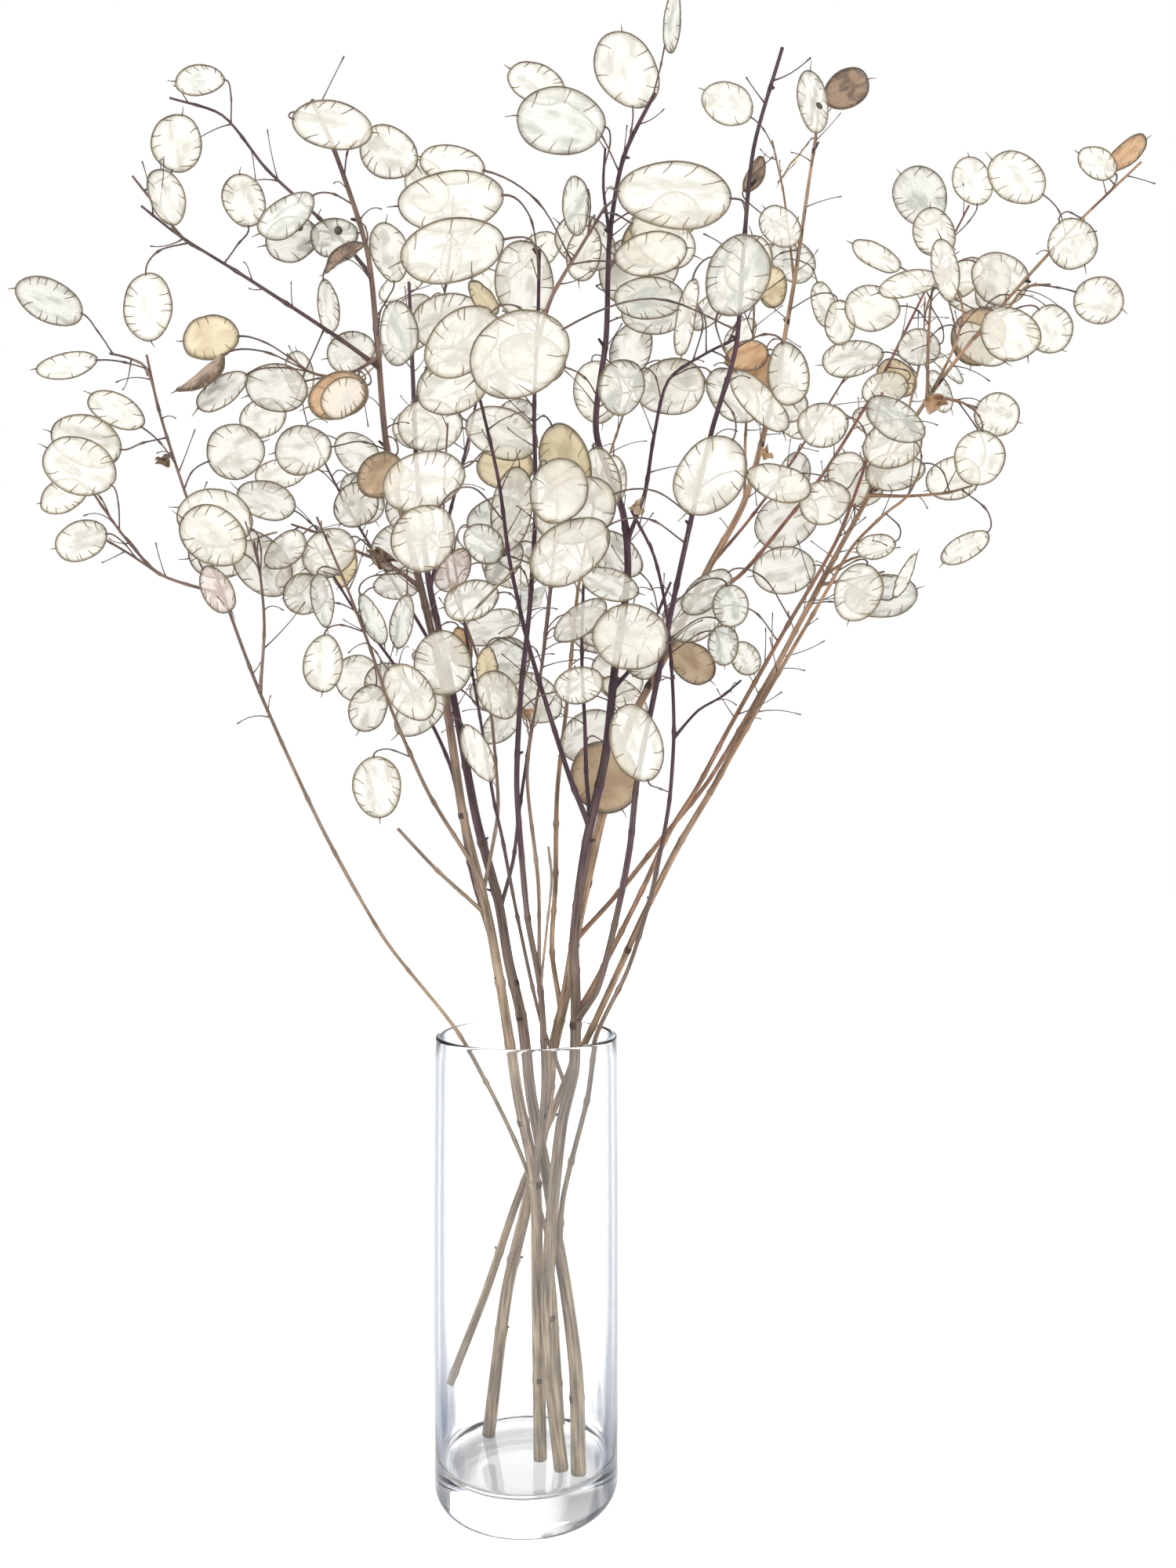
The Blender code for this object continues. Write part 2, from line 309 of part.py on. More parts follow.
PLACED_PODS = (
    Placed("stem_centre", (0.063, -0.076, 0.877), 0.045, 0.043, 112, 6),
    Placed("stem_centre", (0.025, -0.098, 0.833), 0.050, 0.040, 172, 4),
    Placed("stem_centre", (0.010, -0.082, 0.864), 0.035, 0.028, 150, 20),
    Placed("stem_centre", (0.082, -0.190, 0.740), 0.055, 0.034, 176, 4),
    Placed("stem_tall_left", (-0.029, -0.172, 0.747), 0.053, 0.033, 186, 8),
    Placed("stem_tall_left", (-0.026, -0.186, 0.715), 0.051, 0.029, 192, -8),
    Placed("stem_centre", (0.114, -0.178, 0.706), 0.041, 0.030, 62, 12),
    Placed("stem_centre", (0.075, -0.084, 0.739), 0.040, 0.027, 182, 10),
    Placed("stem_tall_left", (-0.026, -0.146, 0.687), 0.045, 0.033, 226, 10),
    Placed("stem_centre", (0.004, -0.150, 0.679), 0.051, 0.042, 196, 4),
    Placed("stem_centre", (-0.048, -0.132, 0.619), 0.045, 0.034, 198, 12),
    Placed("stem_centre", (-0.046, -0.146, 0.585), 0.036, 0.034, -104, 6),
    Placed("stem_centre", (0.033, -0.092, 0.614), 0.048, 0.035, 190, 10),
    Placed("stem_centre", (0.030, -0.112, 0.586), 0.049, 0.031, 214, -8),
    Placed("stem_centre", (0.106, -0.128, 0.623), 0.046, 0.036, 238, 10),
    Placed("stem_centre", (0.064, -0.092, 0.542), 0.043, 0.036, 172, -12),
    Placed("stem_purple", (0.069, -0.066, 0.484), 0.047, 0.031, 106, 24),
    Placed("stem_centre", (0.051, 0.006, 0.467), 0.048, 0.044, -62, 10),
    Placed("stem_centre", (0.041, 0.022, 0.495), 0.041, 0.035, 200, 20),
    Placed("stem_tall_left", (-0.088, -0.052, 0.458), 0.037, 0.030, -84, 10),
    Placed("stem_tall_left", (-0.117, -0.066, 0.531), 0.034, 0.025, -92, 20),
    Placed("stem_tall_left", (-0.066, -0.064, 0.514), 0.038, 0.026, -46, 24),
    Placed("stem_tall_left", (-0.026, -0.058, 0.478), 0.037, 0.016, -62, 50),
    Placed("stem_tall_left", (-0.048, -0.054, 0.533), 0.039, 0.037, -80, 8),
    Placed("stem_left", (-0.266, -0.074, 0.705), 0.036, 0.020, 188, 30),
    Placed("stem_left", (-0.234, -0.080, 0.676), 0.035, 0.020, 146, 30),
    Placed("stem_left", (-0.254, -0.084, 0.642), 0.043, 0.033, 150, 12),
    Placed("stem_left", (-0.258, -0.066, 0.663), 0.043, 0.028, 166, -16),
    Placed("stem_left", (-0.271, -0.066, 0.630), 0.029, 0.023, 196, 24),
    Placed("stem_left", (-0.267, -0.052, 0.607), 0.032, 0.027, 196, 16),
    Placed("stem_left", (-0.173, -0.092, 0.610), 0.043, 0.034, 164, 10),
    Placed("stem_left", (-0.169, -0.106, 0.596), 0.040, 0.031, 150, -8),
    Placed("stem_left", (-0.179, -0.070, 0.574), 0.030, 0.019, -56, 24),
    Placed("stem_tall_left", (-0.197, -0.046, 0.890), 0.030, 0.022, 196, 14),
    Placed("stem_tall_left", (-0.204, -0.066, 0.840), 0.034, 0.028, 80, 10),
    Placed("stem_tall_left", (-0.205, -0.080, 0.800), 0.033, 0.018, 100, 30),
    Placed("stem_tall_left", (-0.166, -0.060, 0.809), 0.032, 0.024, 100, 14),
    Placed("stem_tall_left", (-0.215, -0.082, 0.735), 0.039, 0.030, -86, 10),
    Placed("stem_tall_left", (-0.174, -0.096, 0.711), 0.032, 0.028, 184, 10),
    Placed("stem_tall_left", (-0.176, -0.108, 0.687), 0.033, 0.012, 216, 40),
    Placed("stem_tall_left", (-0.166, -0.100, 0.679), 0.033, 0.019, 216, 18),
    Placed("stem_tall_left", (-0.136, -0.064, 0.784), 0.032, 0.031, 196, 8),
    Placed("stem_tall_left", (-0.111, -0.064, 0.785), 0.028, 0.026, 190, 10),
    Placed("stem_tall_left", (-0.100, -0.084, 0.762), 0.028, 0.011, 232, 40),
    Placed("stem_tall_left", (-0.104, -0.100, 0.829), 0.045, 0.024, 4, 10),
    Placed("stem_tall_left", (-0.073, -0.096, 0.816), 0.034, 0.027, -24, 10),
    Placed("stem_tall_left", (-0.104, -0.086, 0.682), 0.035, 0.029, 200, 10),
    Placed("stem_tall_left", (-0.097, -0.104, 0.674), 0.027, 0.023, 220, 10),
    Placed("stem_tall_left", (-0.127, -0.074, 0.655), 0.033, 0.032, 186, 8),
    Placed("stem_tall_left", (-0.083, -0.064, 0.643), 0.030, 0.027, 234, 10),
    Placed("stem_tall_left", (-0.119, -0.044, 0.602), 0.034, 0.030, 214, 8),
    Placed("stem_right", (0.282, -0.038, 0.662), 0.034, 0.030, -96, 8),
    Placed("stem_right", (0.276, -0.030, 0.609), 0.033, 0.016, 214, 36),
    Placed("stem_right", (0.300, -0.018, 0.696), 0.028, 0.025, -20, 14),
    Placed("stem_right", (0.226, -0.046, 0.668), 0.037, 0.030, 206, 8),
    Placed("stem_right", (0.232, -0.030, 0.656), 0.037, 0.029, 196, 10),
    Placed("stem_right", (0.205, -0.046, 0.577), 0.036, 0.028, -108, 10),
    Placed("stem_right", (0.238, -0.030, 0.591), 0.030, 0.009, 76, 60),
    Placed("stem_right", (0.319, -0.002, 0.856), 0.040, 0.037, 146, 10),
    Placed("stem_tan", (0.323, 0.096, 0.910), 0.036, 0.032, 100, 14),
    Placed("stem_right", (0.351, -0.010, 0.809), 0.032, 0.029, -46, 12),
    Placed("stem_right", (0.369, -0.006, 0.863), 0.027, 0.025, 150, 14),
    Placed("stem_right", (0.400, 0.020, 0.885), 0.033, 0.013, 34, 40),
    Placed("stem_right", (0.361, -0.026, 0.765), 0.031, 0.026, -20, 14),
    Placed("stem_right", (0.329, -0.030, 0.745), 0.029, 0.022, -60, 30),
    Placed("stem_right", (0.303, 0.026, 0.765), 0.039, 0.035, -104, 8),
    Placed("stem_right", (0.270, 0.014, 0.829), 0.033, 0.030, 100, 10),
    Placed("stem_right", (0.258, -0.046, 0.774), 0.038, 0.019, 98, 20),
    Placed("stem_right", (0.226, 0.004, 0.774), 0.036, 0.033, 184, 10),
    Placed("stem_centre", (0.184, -0.044, 0.680), 0.031, 0.032, 196, 8),
    Placed("stem_centre", (0.187, -0.034, 0.636), 0.032, 0.028, 210, 10),
    Placed("stem_tan", (0.182, 0.070, 0.653), 0.048, 0.038, 216, 10),
    Placed("stem_tan", (0.172, 0.026, 0.607), 0.042, 0.033, 190, 10),
    Placed("stem_centre", (0.144, -0.150, 0.669), 0.033, 0.020, -80, 16),
    Placed("stem_tan", (0.149, 0.040, 0.758), 0.030, 0.023, 196, 14),
    Placed("stem_tan", (0.160, 0.056, 0.753), 0.027, 0.023, 240, 12),
    Placed("stem_tan", (0.176, 0.066, 0.860), 0.033, 0.029, 130, 12),
    Placed("stem_tan", (0.142, 0.092, 0.964), 0.039, 0.034, 150, 10),
    Placed("stem_tan", (0.202, 0.078, 0.956), 0.045, 0.024, 96, 20),
    Placed("stem_tan", (0.230, 0.098, 0.978), 0.036, 0.025, 26, 14),
    Placed("stem_tan", (0.160, 0.084, 0.908), 0.028, 0.011, 58, 40),
    Placed("stem_centre", (0.078, -0.044, 0.793), 0.037, 0.030, 30, 10),
    Placed("stem_tall_left", (-0.118, -0.050, 0.750), 0.033, 0.014, -80, 30),
    Placed("stem_tall_left", (-0.106, -0.040, 0.727), 0.030, 0.028, 196, 10),
    Placed("stem_tall_left", (-0.083, -0.056, 0.755), 0.028, 0.012, 176, 30),
    Placed("stem_tall_left", (-0.079, -0.058, 0.779), 0.036, 0.021, 98, 24),
    Placed("stem_tall_left", (-0.033, -0.130, 0.790), 0.035, 0.024, 168, 14),
    Placed("stem_tall_left", (0.005, -0.112, 0.736), 0.043, 0.034, 80, 8),
    Placed("stem_tall_left", (-0.040, -0.096, 0.721), 0.041, 0.029, 214, 10),
    Placed("stem_tall_left", (-0.017, -0.118, 0.724), 0.023, 0.015, 120, 20),
    Placed("stem_centre", (0.080, -0.070, 0.738), 0.041, 0.030, 190, 10),
    Placed("stem_centre", (0.072, -0.030, 0.782), 0.051, 0.041, 20, 8),
    Placed("stem_centre", (0.066, -0.056, 0.721), 0.033, 0.028, -80, 12),
    Placed("stem_centre", (0.096, -0.100, 0.721), 0.042, 0.011, -84, 56),
    Placed("stem_tall_left", (0.027, -0.084, 0.644), 0.046, 0.028, -70, 14),
    Placed("stem_tall_left", (-0.005, -0.066, 0.623), 0.050, 0.023, 66, 20),
    Placed("stem_centre", (0.048, -0.060, 0.642), 0.039, 0.021, -76, 26),
    Placed("stem_purple", (-0.071, 0.060, 0.717), 0.046, 0.039, 190, 8),
    Placed("stem_centre", (-0.011, -0.070, 0.666), 0.044, 0.028, -20, 10),
    Placed("stem_tall_left", (-0.161, -0.030, 0.638), 0.037, 0.025, 160, 16),
    Placed("stem_left", (-0.176, -0.044, 0.664), 0.035, 0.032, 20, 10),
    Placed("stem_tall_left", (-0.166, -0.020, 0.693), 0.030, 0.028, 200, 12),
    Placed("stem_tall_left", (-0.147, -0.040, 0.605), 0.030, 0.026, 220, 12),
    Placed("stem_tall_left", (-0.104, -0.034, 0.634), 0.030, 0.028, 230, 10),
    Placed("stem_tall_left", (-0.122, -0.048, 0.572), 0.033, 0.015, -80, 30),
    Placed("stem_tall_left", (-0.090, -0.056, 0.559), 0.033, 0.015, -78, 24),
    Placed("stem_tall_left", (-0.073, -0.050, 0.559), 0.033, 0.015, -100, 30),
    Placed("stem_tall_left", (-0.097, -0.034, 0.508), 0.030, 0.024, -110, 12),
    Placed("stem_tall_left", (-0.038, -0.046, 0.544), 0.024, 0.012, -84, 30),
    Placed("stem_tall_left", (-0.020, -0.058, 0.530), 0.025, 0.013, -88, 20),
    Placed("stem_centre", (0.115, -0.020, 0.583), 0.038, 0.021, 222, 20),
    Placed("stem_centre", (0.108, -0.004, 0.570), 0.040, 0.031, 200, 10),
    Placed("stem_purple", (0.128, -0.040, 0.570), 0.026, 0.021, -80, 16),
    Placed("stem_purple", (0.124, -0.034, 0.547), 0.025, 0.018, -100, 20),
    Placed("stem_purple", (0.139, -0.026, 0.540), 0.022, 0.017, -60, 14),
    Placed("stem_right", (0.212, 0.008, 0.663), 0.036, 0.029, 100, 10),
    Placed("stem_right", (0.216, -0.046, 0.605), 0.024, 0.016, 196, 20),
    Placed("stem_right", (0.279, 0.004, 0.662), 0.036, 0.029, 204, 12),
    Placed("stem_tan", (0.215, 0.050, 0.785), 0.031, 0.019, -84, 20),
    Placed("stem_tan", (0.207, 0.066, 0.805), 0.033, 0.014, -74, 30),
    Placed("stem_right", (0.264, 0.030, 0.759), 0.029, 0.027, 190, 10),
    Placed("stem_right", (0.243, -0.020, 0.778), 0.038, 0.020, 196, 24),
    Placed("stem_right", (0.314, 0.030, 0.802), 0.035, 0.023, 62, 20),
    Placed("stem_tan", (0.249, 0.060, 0.743), 0.033, 0.025, 200, 14),
    Placed("stem_tan", (0.173, 0.080, 0.824), 0.029, 0.020, -84, 18),
    Placed("stem_tan", (0.047, 0.120, 0.764), 0.047, 0.036, -80, 12),
    Placed("stem_centre", (0.039, -0.030, 0.799), 0.041, 0.030, 130, 14),
)


def nearest_on(points, target):
    """The index and share along a polyline of its place nearest to a target."""
    best = (math.inf, 0, 0.0)
    for index, (start, end) in enumerate(zip(points, points[1:])):
        span = end - start
        share = max(0.0, min(1.0, (target - start).dot(span) / span.length_squared))
        gap = (start + span * share - target).length
        best = min(best, (gap, index, share))
    return best[1], best[2]


def vase_inner_radius(height):
    """The radius of the inside of the vase at a height, with its rounded inner corner."""
    wall = RIM_RADIUS - WALL
    rise = height - FLOOR_HEIGHT
    if rise >= INNER_CORNER:
        return wall
    drop = INNER_CORNER - max(rise, 0.0)
    return wall - INNER_CORNER + math.sqrt(INNER_CORNER**2 - drop**2)


class Route:
    """A strand's path as points with radii, hung on its parent's path."""

    def __init__(self, stem, strand, parent):
        self.stem = stem
        self.name = strand.name
        self.parent = parent
        self.pods = strand.pods
        self.points = [Vector(point) for point in strand.path]
        first, last = strand.radii
        count = len(self.points) - 1
        self.radii = [first + (last - first) * i / count for i in range(count + 1)]
        self.joint = nearest_on(parent.points, self.points[0]) if parent else None
        self.reattach()

    def reattach(self):
        """Puts the first point on the parent's path, or on the floor, if it isn't wedged."""
        if self.parent:
            index, share = self.joint
            start, end = self.parent.points[index : index + 2]
            self.points[0] = start.lerp(end, share)
            return
        foot = self.points[0]
        if foot.z > WEDGED_ABOVE:
            room = vase_inner_radius(foot.z) - self.radii[0] - SEAT_GAP
            share = room / math.hypot(foot.x, foot.y)
            foot.x *= share
            foot.y *= share
            return
        lean = (self.points[1] - self.points[0]).normalized()
        drop = self.radii[0] * math.sqrt(1 - lean.z**2)
        self.points[0].z = FLOOR_HEIGHT + SEAT_GAP + drop


def keep_in_vase(route):
    """Moves the points inside the vase clear of its wall."""
    for point, radius in zip(route.points, route.radii):
        if point.z > VASE_HEIGHT + RIM_ZONE:
            continue
        room = vase_inner_radius(point.z - radius) - radius - RIM_MARGIN
        reach = math.hypot(point.x, point.y)
        if reach > room:
            point.x *= room / reach
            point.y *= room / reach


def closest_shares(p, u, q, v):
    """The shares along segment pairs p + u s and q + v t at which they are closest."""
    w = p - q
    a = (u * u).sum(1)
    b = (u * v).sum(1)
    c = (v * v).sum(1)
    d = (u * w).sum(1)
    e = (v * w).sum(1)
    bottom = np.maximum(a * c - b * b, 1e-12)
    s = np.clip((b * e - c * d) / bottom, 0, 1)
    t = np.clip((b * s + e) / c, 0, 1)
    s = np.clip((b * t - d) / a, 0, 1)
    return s, t


def ease_apart(routes):
    """Pushes crossing strands apart, a little at a time, until they clear each other."""
    segments = [(r, i) for r in range(len(routes)) for i in range(len(routes[r].points) - 1)]
    pairs = []
    for m, (r, i) in enumerate(segments):
        for n in range(m + 1, len(segments)):
            o, j = segments[n]
            one, other = routes[r], routes[o]
            if one is other or one.parent is other or other.parent is one:
                continue
            if one.stem == other.stem and (i == 0 or j == 0):
                continue
            pairs.append((m, n))
    pairs = np.array(pairs)
    owner = np.array([r for r, _ in segments])
    place = np.array([i for _, i in segments])
    for _ in range(EASE_ROUNDS):
        start = np.array([routes[r].points[i] for r, i in segments])
        end = np.array([routes[r].points[i + 1] for r, i in segments])
        thick = np.array([routes[r].radii[i] for r, i in segments])
        first, second = pairs.T
        s, t = closest_shares(
            start[first], (end - start)[first], start[second], (end - start)[second]
        )
        near = start[first] + (end - start)[first] * s[:, None]
        far = start[second] + (end - start)[second] * t[:, None]
        gap = np.linalg.norm(near - far, axis=1)
        need = thick[first] + thick[second] + STEM_GAP
        crowded = np.nonzero(gap < need)[0]
        if len(crowded) == 0:
            break
        for k in crowded:
            away = Vector(near[k] - far[k])
            away = away.normalized() if away.length > 1e-6 else Vector((0, 1, 0))
            push = away * float(need[k] - gap[k]) * EASE_SHARE
            for segment, share, way in ((first[k], s[k], 1), (second[k], t[k], -1)):
                points = routes[owner[segment]].points
                index = place[segment]
                points[index] += push * (way * float(1 - share))
                points[index + 1] += push * (way * float(share))
        for route in routes:
            keep_in_vase(route)
            route.reattach()


def route_stems():
    """All strands as routes that clear each other, keyed by stem and strand name."""
    routes = {}
    for stem, strands in STEMS.items():
        for strand in strands:
            parent = routes[stem, strand.parent] if strand.parent else None
            routes[stem, strand.name] = Route(stem, strand, parent)
    ease_apart(list(routes.values()))
    return routes


def frame_of(tangent, hint):
    """Two unit vectors square to a tangent, the first as near to the hint as it goes."""
    side = hint - tangent * hint.dot(tangent)
    if side.length < 1e-4:
        side = tangent.orthogonal()
    side.normalize()
    return side, tangent.cross(side)


def tube_faces(points, radii, sides):
    """Corners and faces of a closed tube along a polyline."""
    corners = []
    hint = Vector((1, 0, 0))
    for index, (point, radius) in enumerate(zip(points, radii)):
        tangent = points[min(index + 1, len(points) - 1)] - points[max(index - 1, 0)]
        hint, across = frame_of(tangent.normalized(), hint)
        for step in range(sides):
            angle = math.tau * step / sides
            corners.append(point + (hint * math.cos(angle) + across * math.sin(angle)) * radius)
    faces = [tuple(reversed(range(sides)))]
    for ring in range(len(points) - 1):
        for step in range(sides):
            a = ring * sides + step
            b = ring * sides + (step + 1) % sides
            faces.append((a, b, b + sides, a + sides))
    last = len(corners) - sides
    faces.append(tuple(range(last, len(corners))))
    return corners, faces


def pod_outline(length, width):
    """The plate's outline from one side of the stalk round to the other, as (along, across)."""
    half_stalk = STALK_WIDTH / 2
    outline = [(0.0, -half_stalk)]
    for corner in range(1, POD_CORNERS):
        angle = math.tau * corner / POD_CORNERS
        along = length / 2 * (1 - math.cos(angle))
        across = -width / 2 * math.sin(angle)
        if corner * 2 == POD_CORNERS:
            along += BEAK_LENGTH
        outline.append((along, across))
    outline.append((0.0, half_stalk))
    return outline


def pod_faces(pod, grow=0.0):
    """Corners and faces of a pod's plate with its stalk, grown on all sides by an amount."""
    across = pod.normal.cross(pod.axis)
    base = pod.stalk[-1]
    outline = pod_outline(pod.length + 2 * grow, pod.width + 2 * grow)
    half = POD_THICKNESS / 2 + grow
    count = len(outline)
    corners = []
    for side in (-half, half):
        for along, sideways in outline:
            edge = base + pod.axis * (along - grow) + across * sideways
            corners.append(edge + pod.normal * side)
    faces = [tuple(range(count)), tuple(reversed(range(count, 2 * count)))]
    for index in range(count - 1):
        faces.append((index + 1, index, index + count, index + count + 1))
    ring = (0, count - 1, 2 * count - 1, count)
    wide = STALK_WIDTH / 2 + grow
    thick = STALK_THICKNESS / 2 + grow
    root, middle, _ = pod.stalk
    run_in, run_out = (base - middle).normalized(), (middle - root).normalized()
    side, up, tangent = across, pod.normal, pod.axis
    for place, ahead in ((middle, (run_in + run_out).normalized()), (root, run_out)):
        bend = tangent.rotation_difference(ahead)
        side, up, tangent = bend @ side, bend @ up, ahead
        first = len(corners)
        for a, b in ((-1, -1), (1, -1), (1, 1), (-1, 1)):
            corners.append(place + side * (wide * a) + up * (thick * b))
        new = (first, first + 1, first + 2, first + 3)
        for k in range(4):
            m = (k + 1) % 4
            faces.append((ring[k], ring[m], new[m], new[k]))
        ring = new
    faces.append(ring)
    return corners, faces


class Crowd:
    """Everything placed so far, to test a new piece against."""

    def __init__(self):
        self.things = []

    def add(self, corners, faces, owner):
        """Adds a closed shape and the strand or pod that it stands for."""
        tree = BVHTree.FromPolygons(corners, faces)
        self.things.append((*box_of(corners), tree, owner))

    def touches(self, corners, faces, skip=None, only=None):
        """Whether a shape meets anything but one owner, or meets the only one named."""
        low, high = box_of(corners)
        tree = BVHTree.FromPolygons(corners, faces)
        for other_low, other_high, other, owner in self.things:
            if owner is skip or (only and owner is not only):
                continue
            if any(low[k] > other_high[k] or high[k] < other_low[k] for k in range(3)):
                continue
            if tree.overlap(other):
                return True
        return False


def box_of(corners):
    """The lowest and highest corner of the box round some points."""
    low = [min(corner[k] for corner in corners) for k in range(3)]
    high = [max(corner[k] for corner in corners) for k in range(3)]
    return low, high


def stalk_curve(root, lead, base, axis):
    """The stalk's points, from its root on a branch to the pod's base."""
    reach = (base - root).length
    first = root + lead * reach * 0.42
    second = base - axis * reach * 0.36
    middle = (root + first * 3 + second * 3 + base) / 8
    return (root, middle, base)


def root_on(route, index, share):
    """The point at a share of one of a route's spans, and the span's direction."""
    start, end = route.points[index : index + 2]
    return start.lerp(end, share), (end - start).normalized()


def make_pod(route, index, share, base, axis, normal, size):
    """A pod on a stalk that leaves its branch at a place given by index and share."""
    root, growth = root_on(route, index, share)
    lead = (growth * 0.5 + (base - root).normalized() * 0.8).normalized()
    length, width = size
    return Pod(route.stem, stalk_curve(root, lead, base, axis), axis, normal, length, width)


def runs_smoothly(pod):
    """Whether the stalk meets its pod from behind, with no bend as tight as a hairpin."""
    root, middle, base = pod.stalk
    run_in, run_out = (base - middle).normalized(), (middle - root).normalized()
    return run_in.dot(pod.axis) > LEAST_RUN_IN and run_in.dot(run_out) > TIGHTEST_BEND


def fits(pod, route, crowd):
    """Whether a pod is clear of all but its branch, which only its stalk may touch."""
    if not runs_smoothly(pod):
        return False
    corners, faces = pod_faces(pod, POD_GAP)
    if crowd.touches(corners, faces, skip=route):
        return False
    count = POD_CORNERS + 1
    return not crowd.touches(corners[: 2 * count], faces[:2], only=route)


def turned_normal(axis, turn):
    """The plate's normal, which faces the front and is then turned about the axis."""
    side, _ = frame_of(axis, Vector((0, -1, 0)))
    across = axis.cross(side)
    angle = math.radians(turn)
    return side * math.cos(angle) + across * math.sin(angle)


def roots_near(routes, stem, base):
    """Places on a stem's strands to root a stalk at, the most natural first."""
    places = []
    for (owner, name), route in routes.items():
        if owner != stem:
            continue
        for index, (start, end) in enumerate(zip(route.points, route.points[1:])):
            steps = max(1, round((end - start).length / ROOT_STEP))
            for step in range(steps):
                root, growth = root_on(route, index, step / steps)
                reach = (base - root).length
                climb = (base - root).dot(growth)
                cost = abs(reach - STALK_REACH) + max(0.0, -climb) * 0.3
                if reach > SHORTEST_STALK:
                    places.append((cost, name, index, step / steps))
    places.sort()
    return places[:ROOTS_TRIED]


def poses_of(placed):
    """The poses tried for a pod set by eye, as its base, axis and normal, the wanted one first."""
    for slide, swing, twist in itertools.product(SLIDES, SWINGS, TWISTS):
        centre = Vector(placed.centre)
        centre += (centre - SEEN_FROM).normalized() * slide
        angle = math.radians(placed.angle + swing)
        axis = Vector((math.cos(angle), 0, math.sin(angle)))
        yield centre - axis * placed.length / 2, axis, turned_normal(axis, placed.turn + twist)


def pod_by_eye(placed, routes, crowd):
    """A pod set by eye, eased forwards or back until it is clear, or None."""
    width = placed.width / math.cos(math.radians(placed.turn))
    size = (placed.length, min(width, placed.length * WIDEST_SHARE))
    for base, axis, normal in poses_of(placed):
        for _, name, index, share in roots_near(routes, placed.stem, base):
            route = routes[placed.stem, name]
            pod = make_pod(route, index, share, base, axis, normal, size)
            if fits(pod, route, crowd):
                return pod
    return None


def pod_by_rule(route, number, turn, slack, draw):
    """One of the pods along a branch, with its place, size and tilt drawn."""
    bearing = BEARING_SHARE if route.parent else BEARING_SHARE**2
    along = 1 - (number + draw.uniform(0, 0.9)) / route.pods * bearing
    spans = len(route.points) - 1
    last = (route.points[-1] - route.points[-2]).length
    at = min(along * spans, spans - TIP_INSET / last)
    index, share = int(at), at - int(at)
    root, growth = root_on(route, index, share)
    side, across = frame_of(growth, Vector((1, 0, 0)))
    spin = turn + draw.gauss(0, slack)
    out = side * math.cos(spin) + across * math.sin(spin)
    base = root + (out * 0.85 + growth * 0.5).normalized() * draw.uniform(*STALK_LIMITS)
    drop = draw.uniform(-1.1, 0.45)
    axis = Vector((out.x + growth.x * 0.3, out.y * 0.45, out.z * 0.5 + drop)).normalized()
    low, high = POD_LENGTH_LIMITS
    length = min(high, max(low, draw.gauss(POD_LENGTH_MEAN, POD_LENGTH_SPREAD)))
    size = (length, length * draw.uniform(0.62, 0.86))
    normal = turned_normal(axis, draw.gauss(0, 34))
    return make_pod(route, index, share, base, axis, normal, size)


def pods_along(route, crowd, draw):
    """The pods that the rule hangs on one branch, each turned on from the one before."""
    pods = []
    turn = draw.uniform(0, math.tau)
    for number in range(route.pods):
        turn += TURN_OF_NEXT
        for attempt in range(TRIES):
            slack = 0.35 + attempt * 0.1
            pod = pod_by_rule(route, number, turn, slack, draw)
            high_enough = (pod.stalk[-1] + pod.axis * pod.length / 2).z > LOWEST_POD
            if high_enough and fits(pod, route, crowd):
                pods.append(pod)
                crowd.add(*pod_faces(pod), pod)
                break
    return pods


def hang_pods(routes):
    """All pods: those set by eye, then those that the rule adds."""
    crowd = Crowd()
    for route in routes.values():
        thick = [radius * 1.15 + SEAT_GAP for radius in route.radii]
        crowd.add(*tube_faces(route.points, thick, 6), route)
    pods = []
    for placed in PLACED_PODS:
        pod = pod_by_eye(placed, routes, crowd)
        if pod:
            pods.append(pod)
            crowd.add(*pod_faces(pod), pod)
    draw = random.Random(SEED_OF_PODS)
    for route in routes.values():
        pods += pods_along(route, crowd, draw)
    return pods


def finish_of(name, colour, roughness, transmission=0.0, alpha=1.0):
    """A material with its own colour, roughness and clearness."""
    material = bpy.data.materials.new(name)
    material.use_nodes = True
    shader = material.node_tree.nodes["Principled BSDF"]
    shader.inputs["Base Color"].default_value = (*colour, 1)
    shader.inputs["Roughness"].default_value = roughness
    shader.inputs["Transmission Weight"].default_value = transmission
    shader.inputs["Alpha"].default_value = alpha
    return material


def arc_points(centre, radius, start, end, steps):
    """Points of an arc in the (radius, height) plane, from one angle to another in degrees."""
    points = []
    for step in range(steps + 1):
        angle = math.radians(start + (end - start) * step / steps)
        points.append(
            (centre[0] + radius * math.cos(angle), centre[1] + radius * math.sin(angle))
        )
    return points


def vase_profile():
    """The vase's section: inner floor, inner wall, rounded rim, outer wall, heel and foot."""
    inner = RIM_RADIUS - WALL
    rim = WALL / 2
    corner = (inner - INNER_CORNER, FLOOR_HEIGHT + INNER_CORNER)
    profile = [(0.0, FLOOR_HEIGHT)]
    profile += arc_points(corner, INNER_CORNER, -90, 0, ARC_STEPS)
    profile += arc_points((RIM_RADIUS - rim, VASE_HEIGHT - rim), rim, 180, 0, RIM_STEPS)
    for share in reversed(BELLY):
        profile.append((VASE_RADIUS, VASE_HEIGHT * share))
    heel = (VASE_RADIUS - HEEL_INSET - HEEL_ROUND, HEEL_ROUND)
    profile += arc_points(heel, HEEL_ROUND, 0, -90, ARC_STEPS)
    profile.append((0.0, 0.0))
    return profile


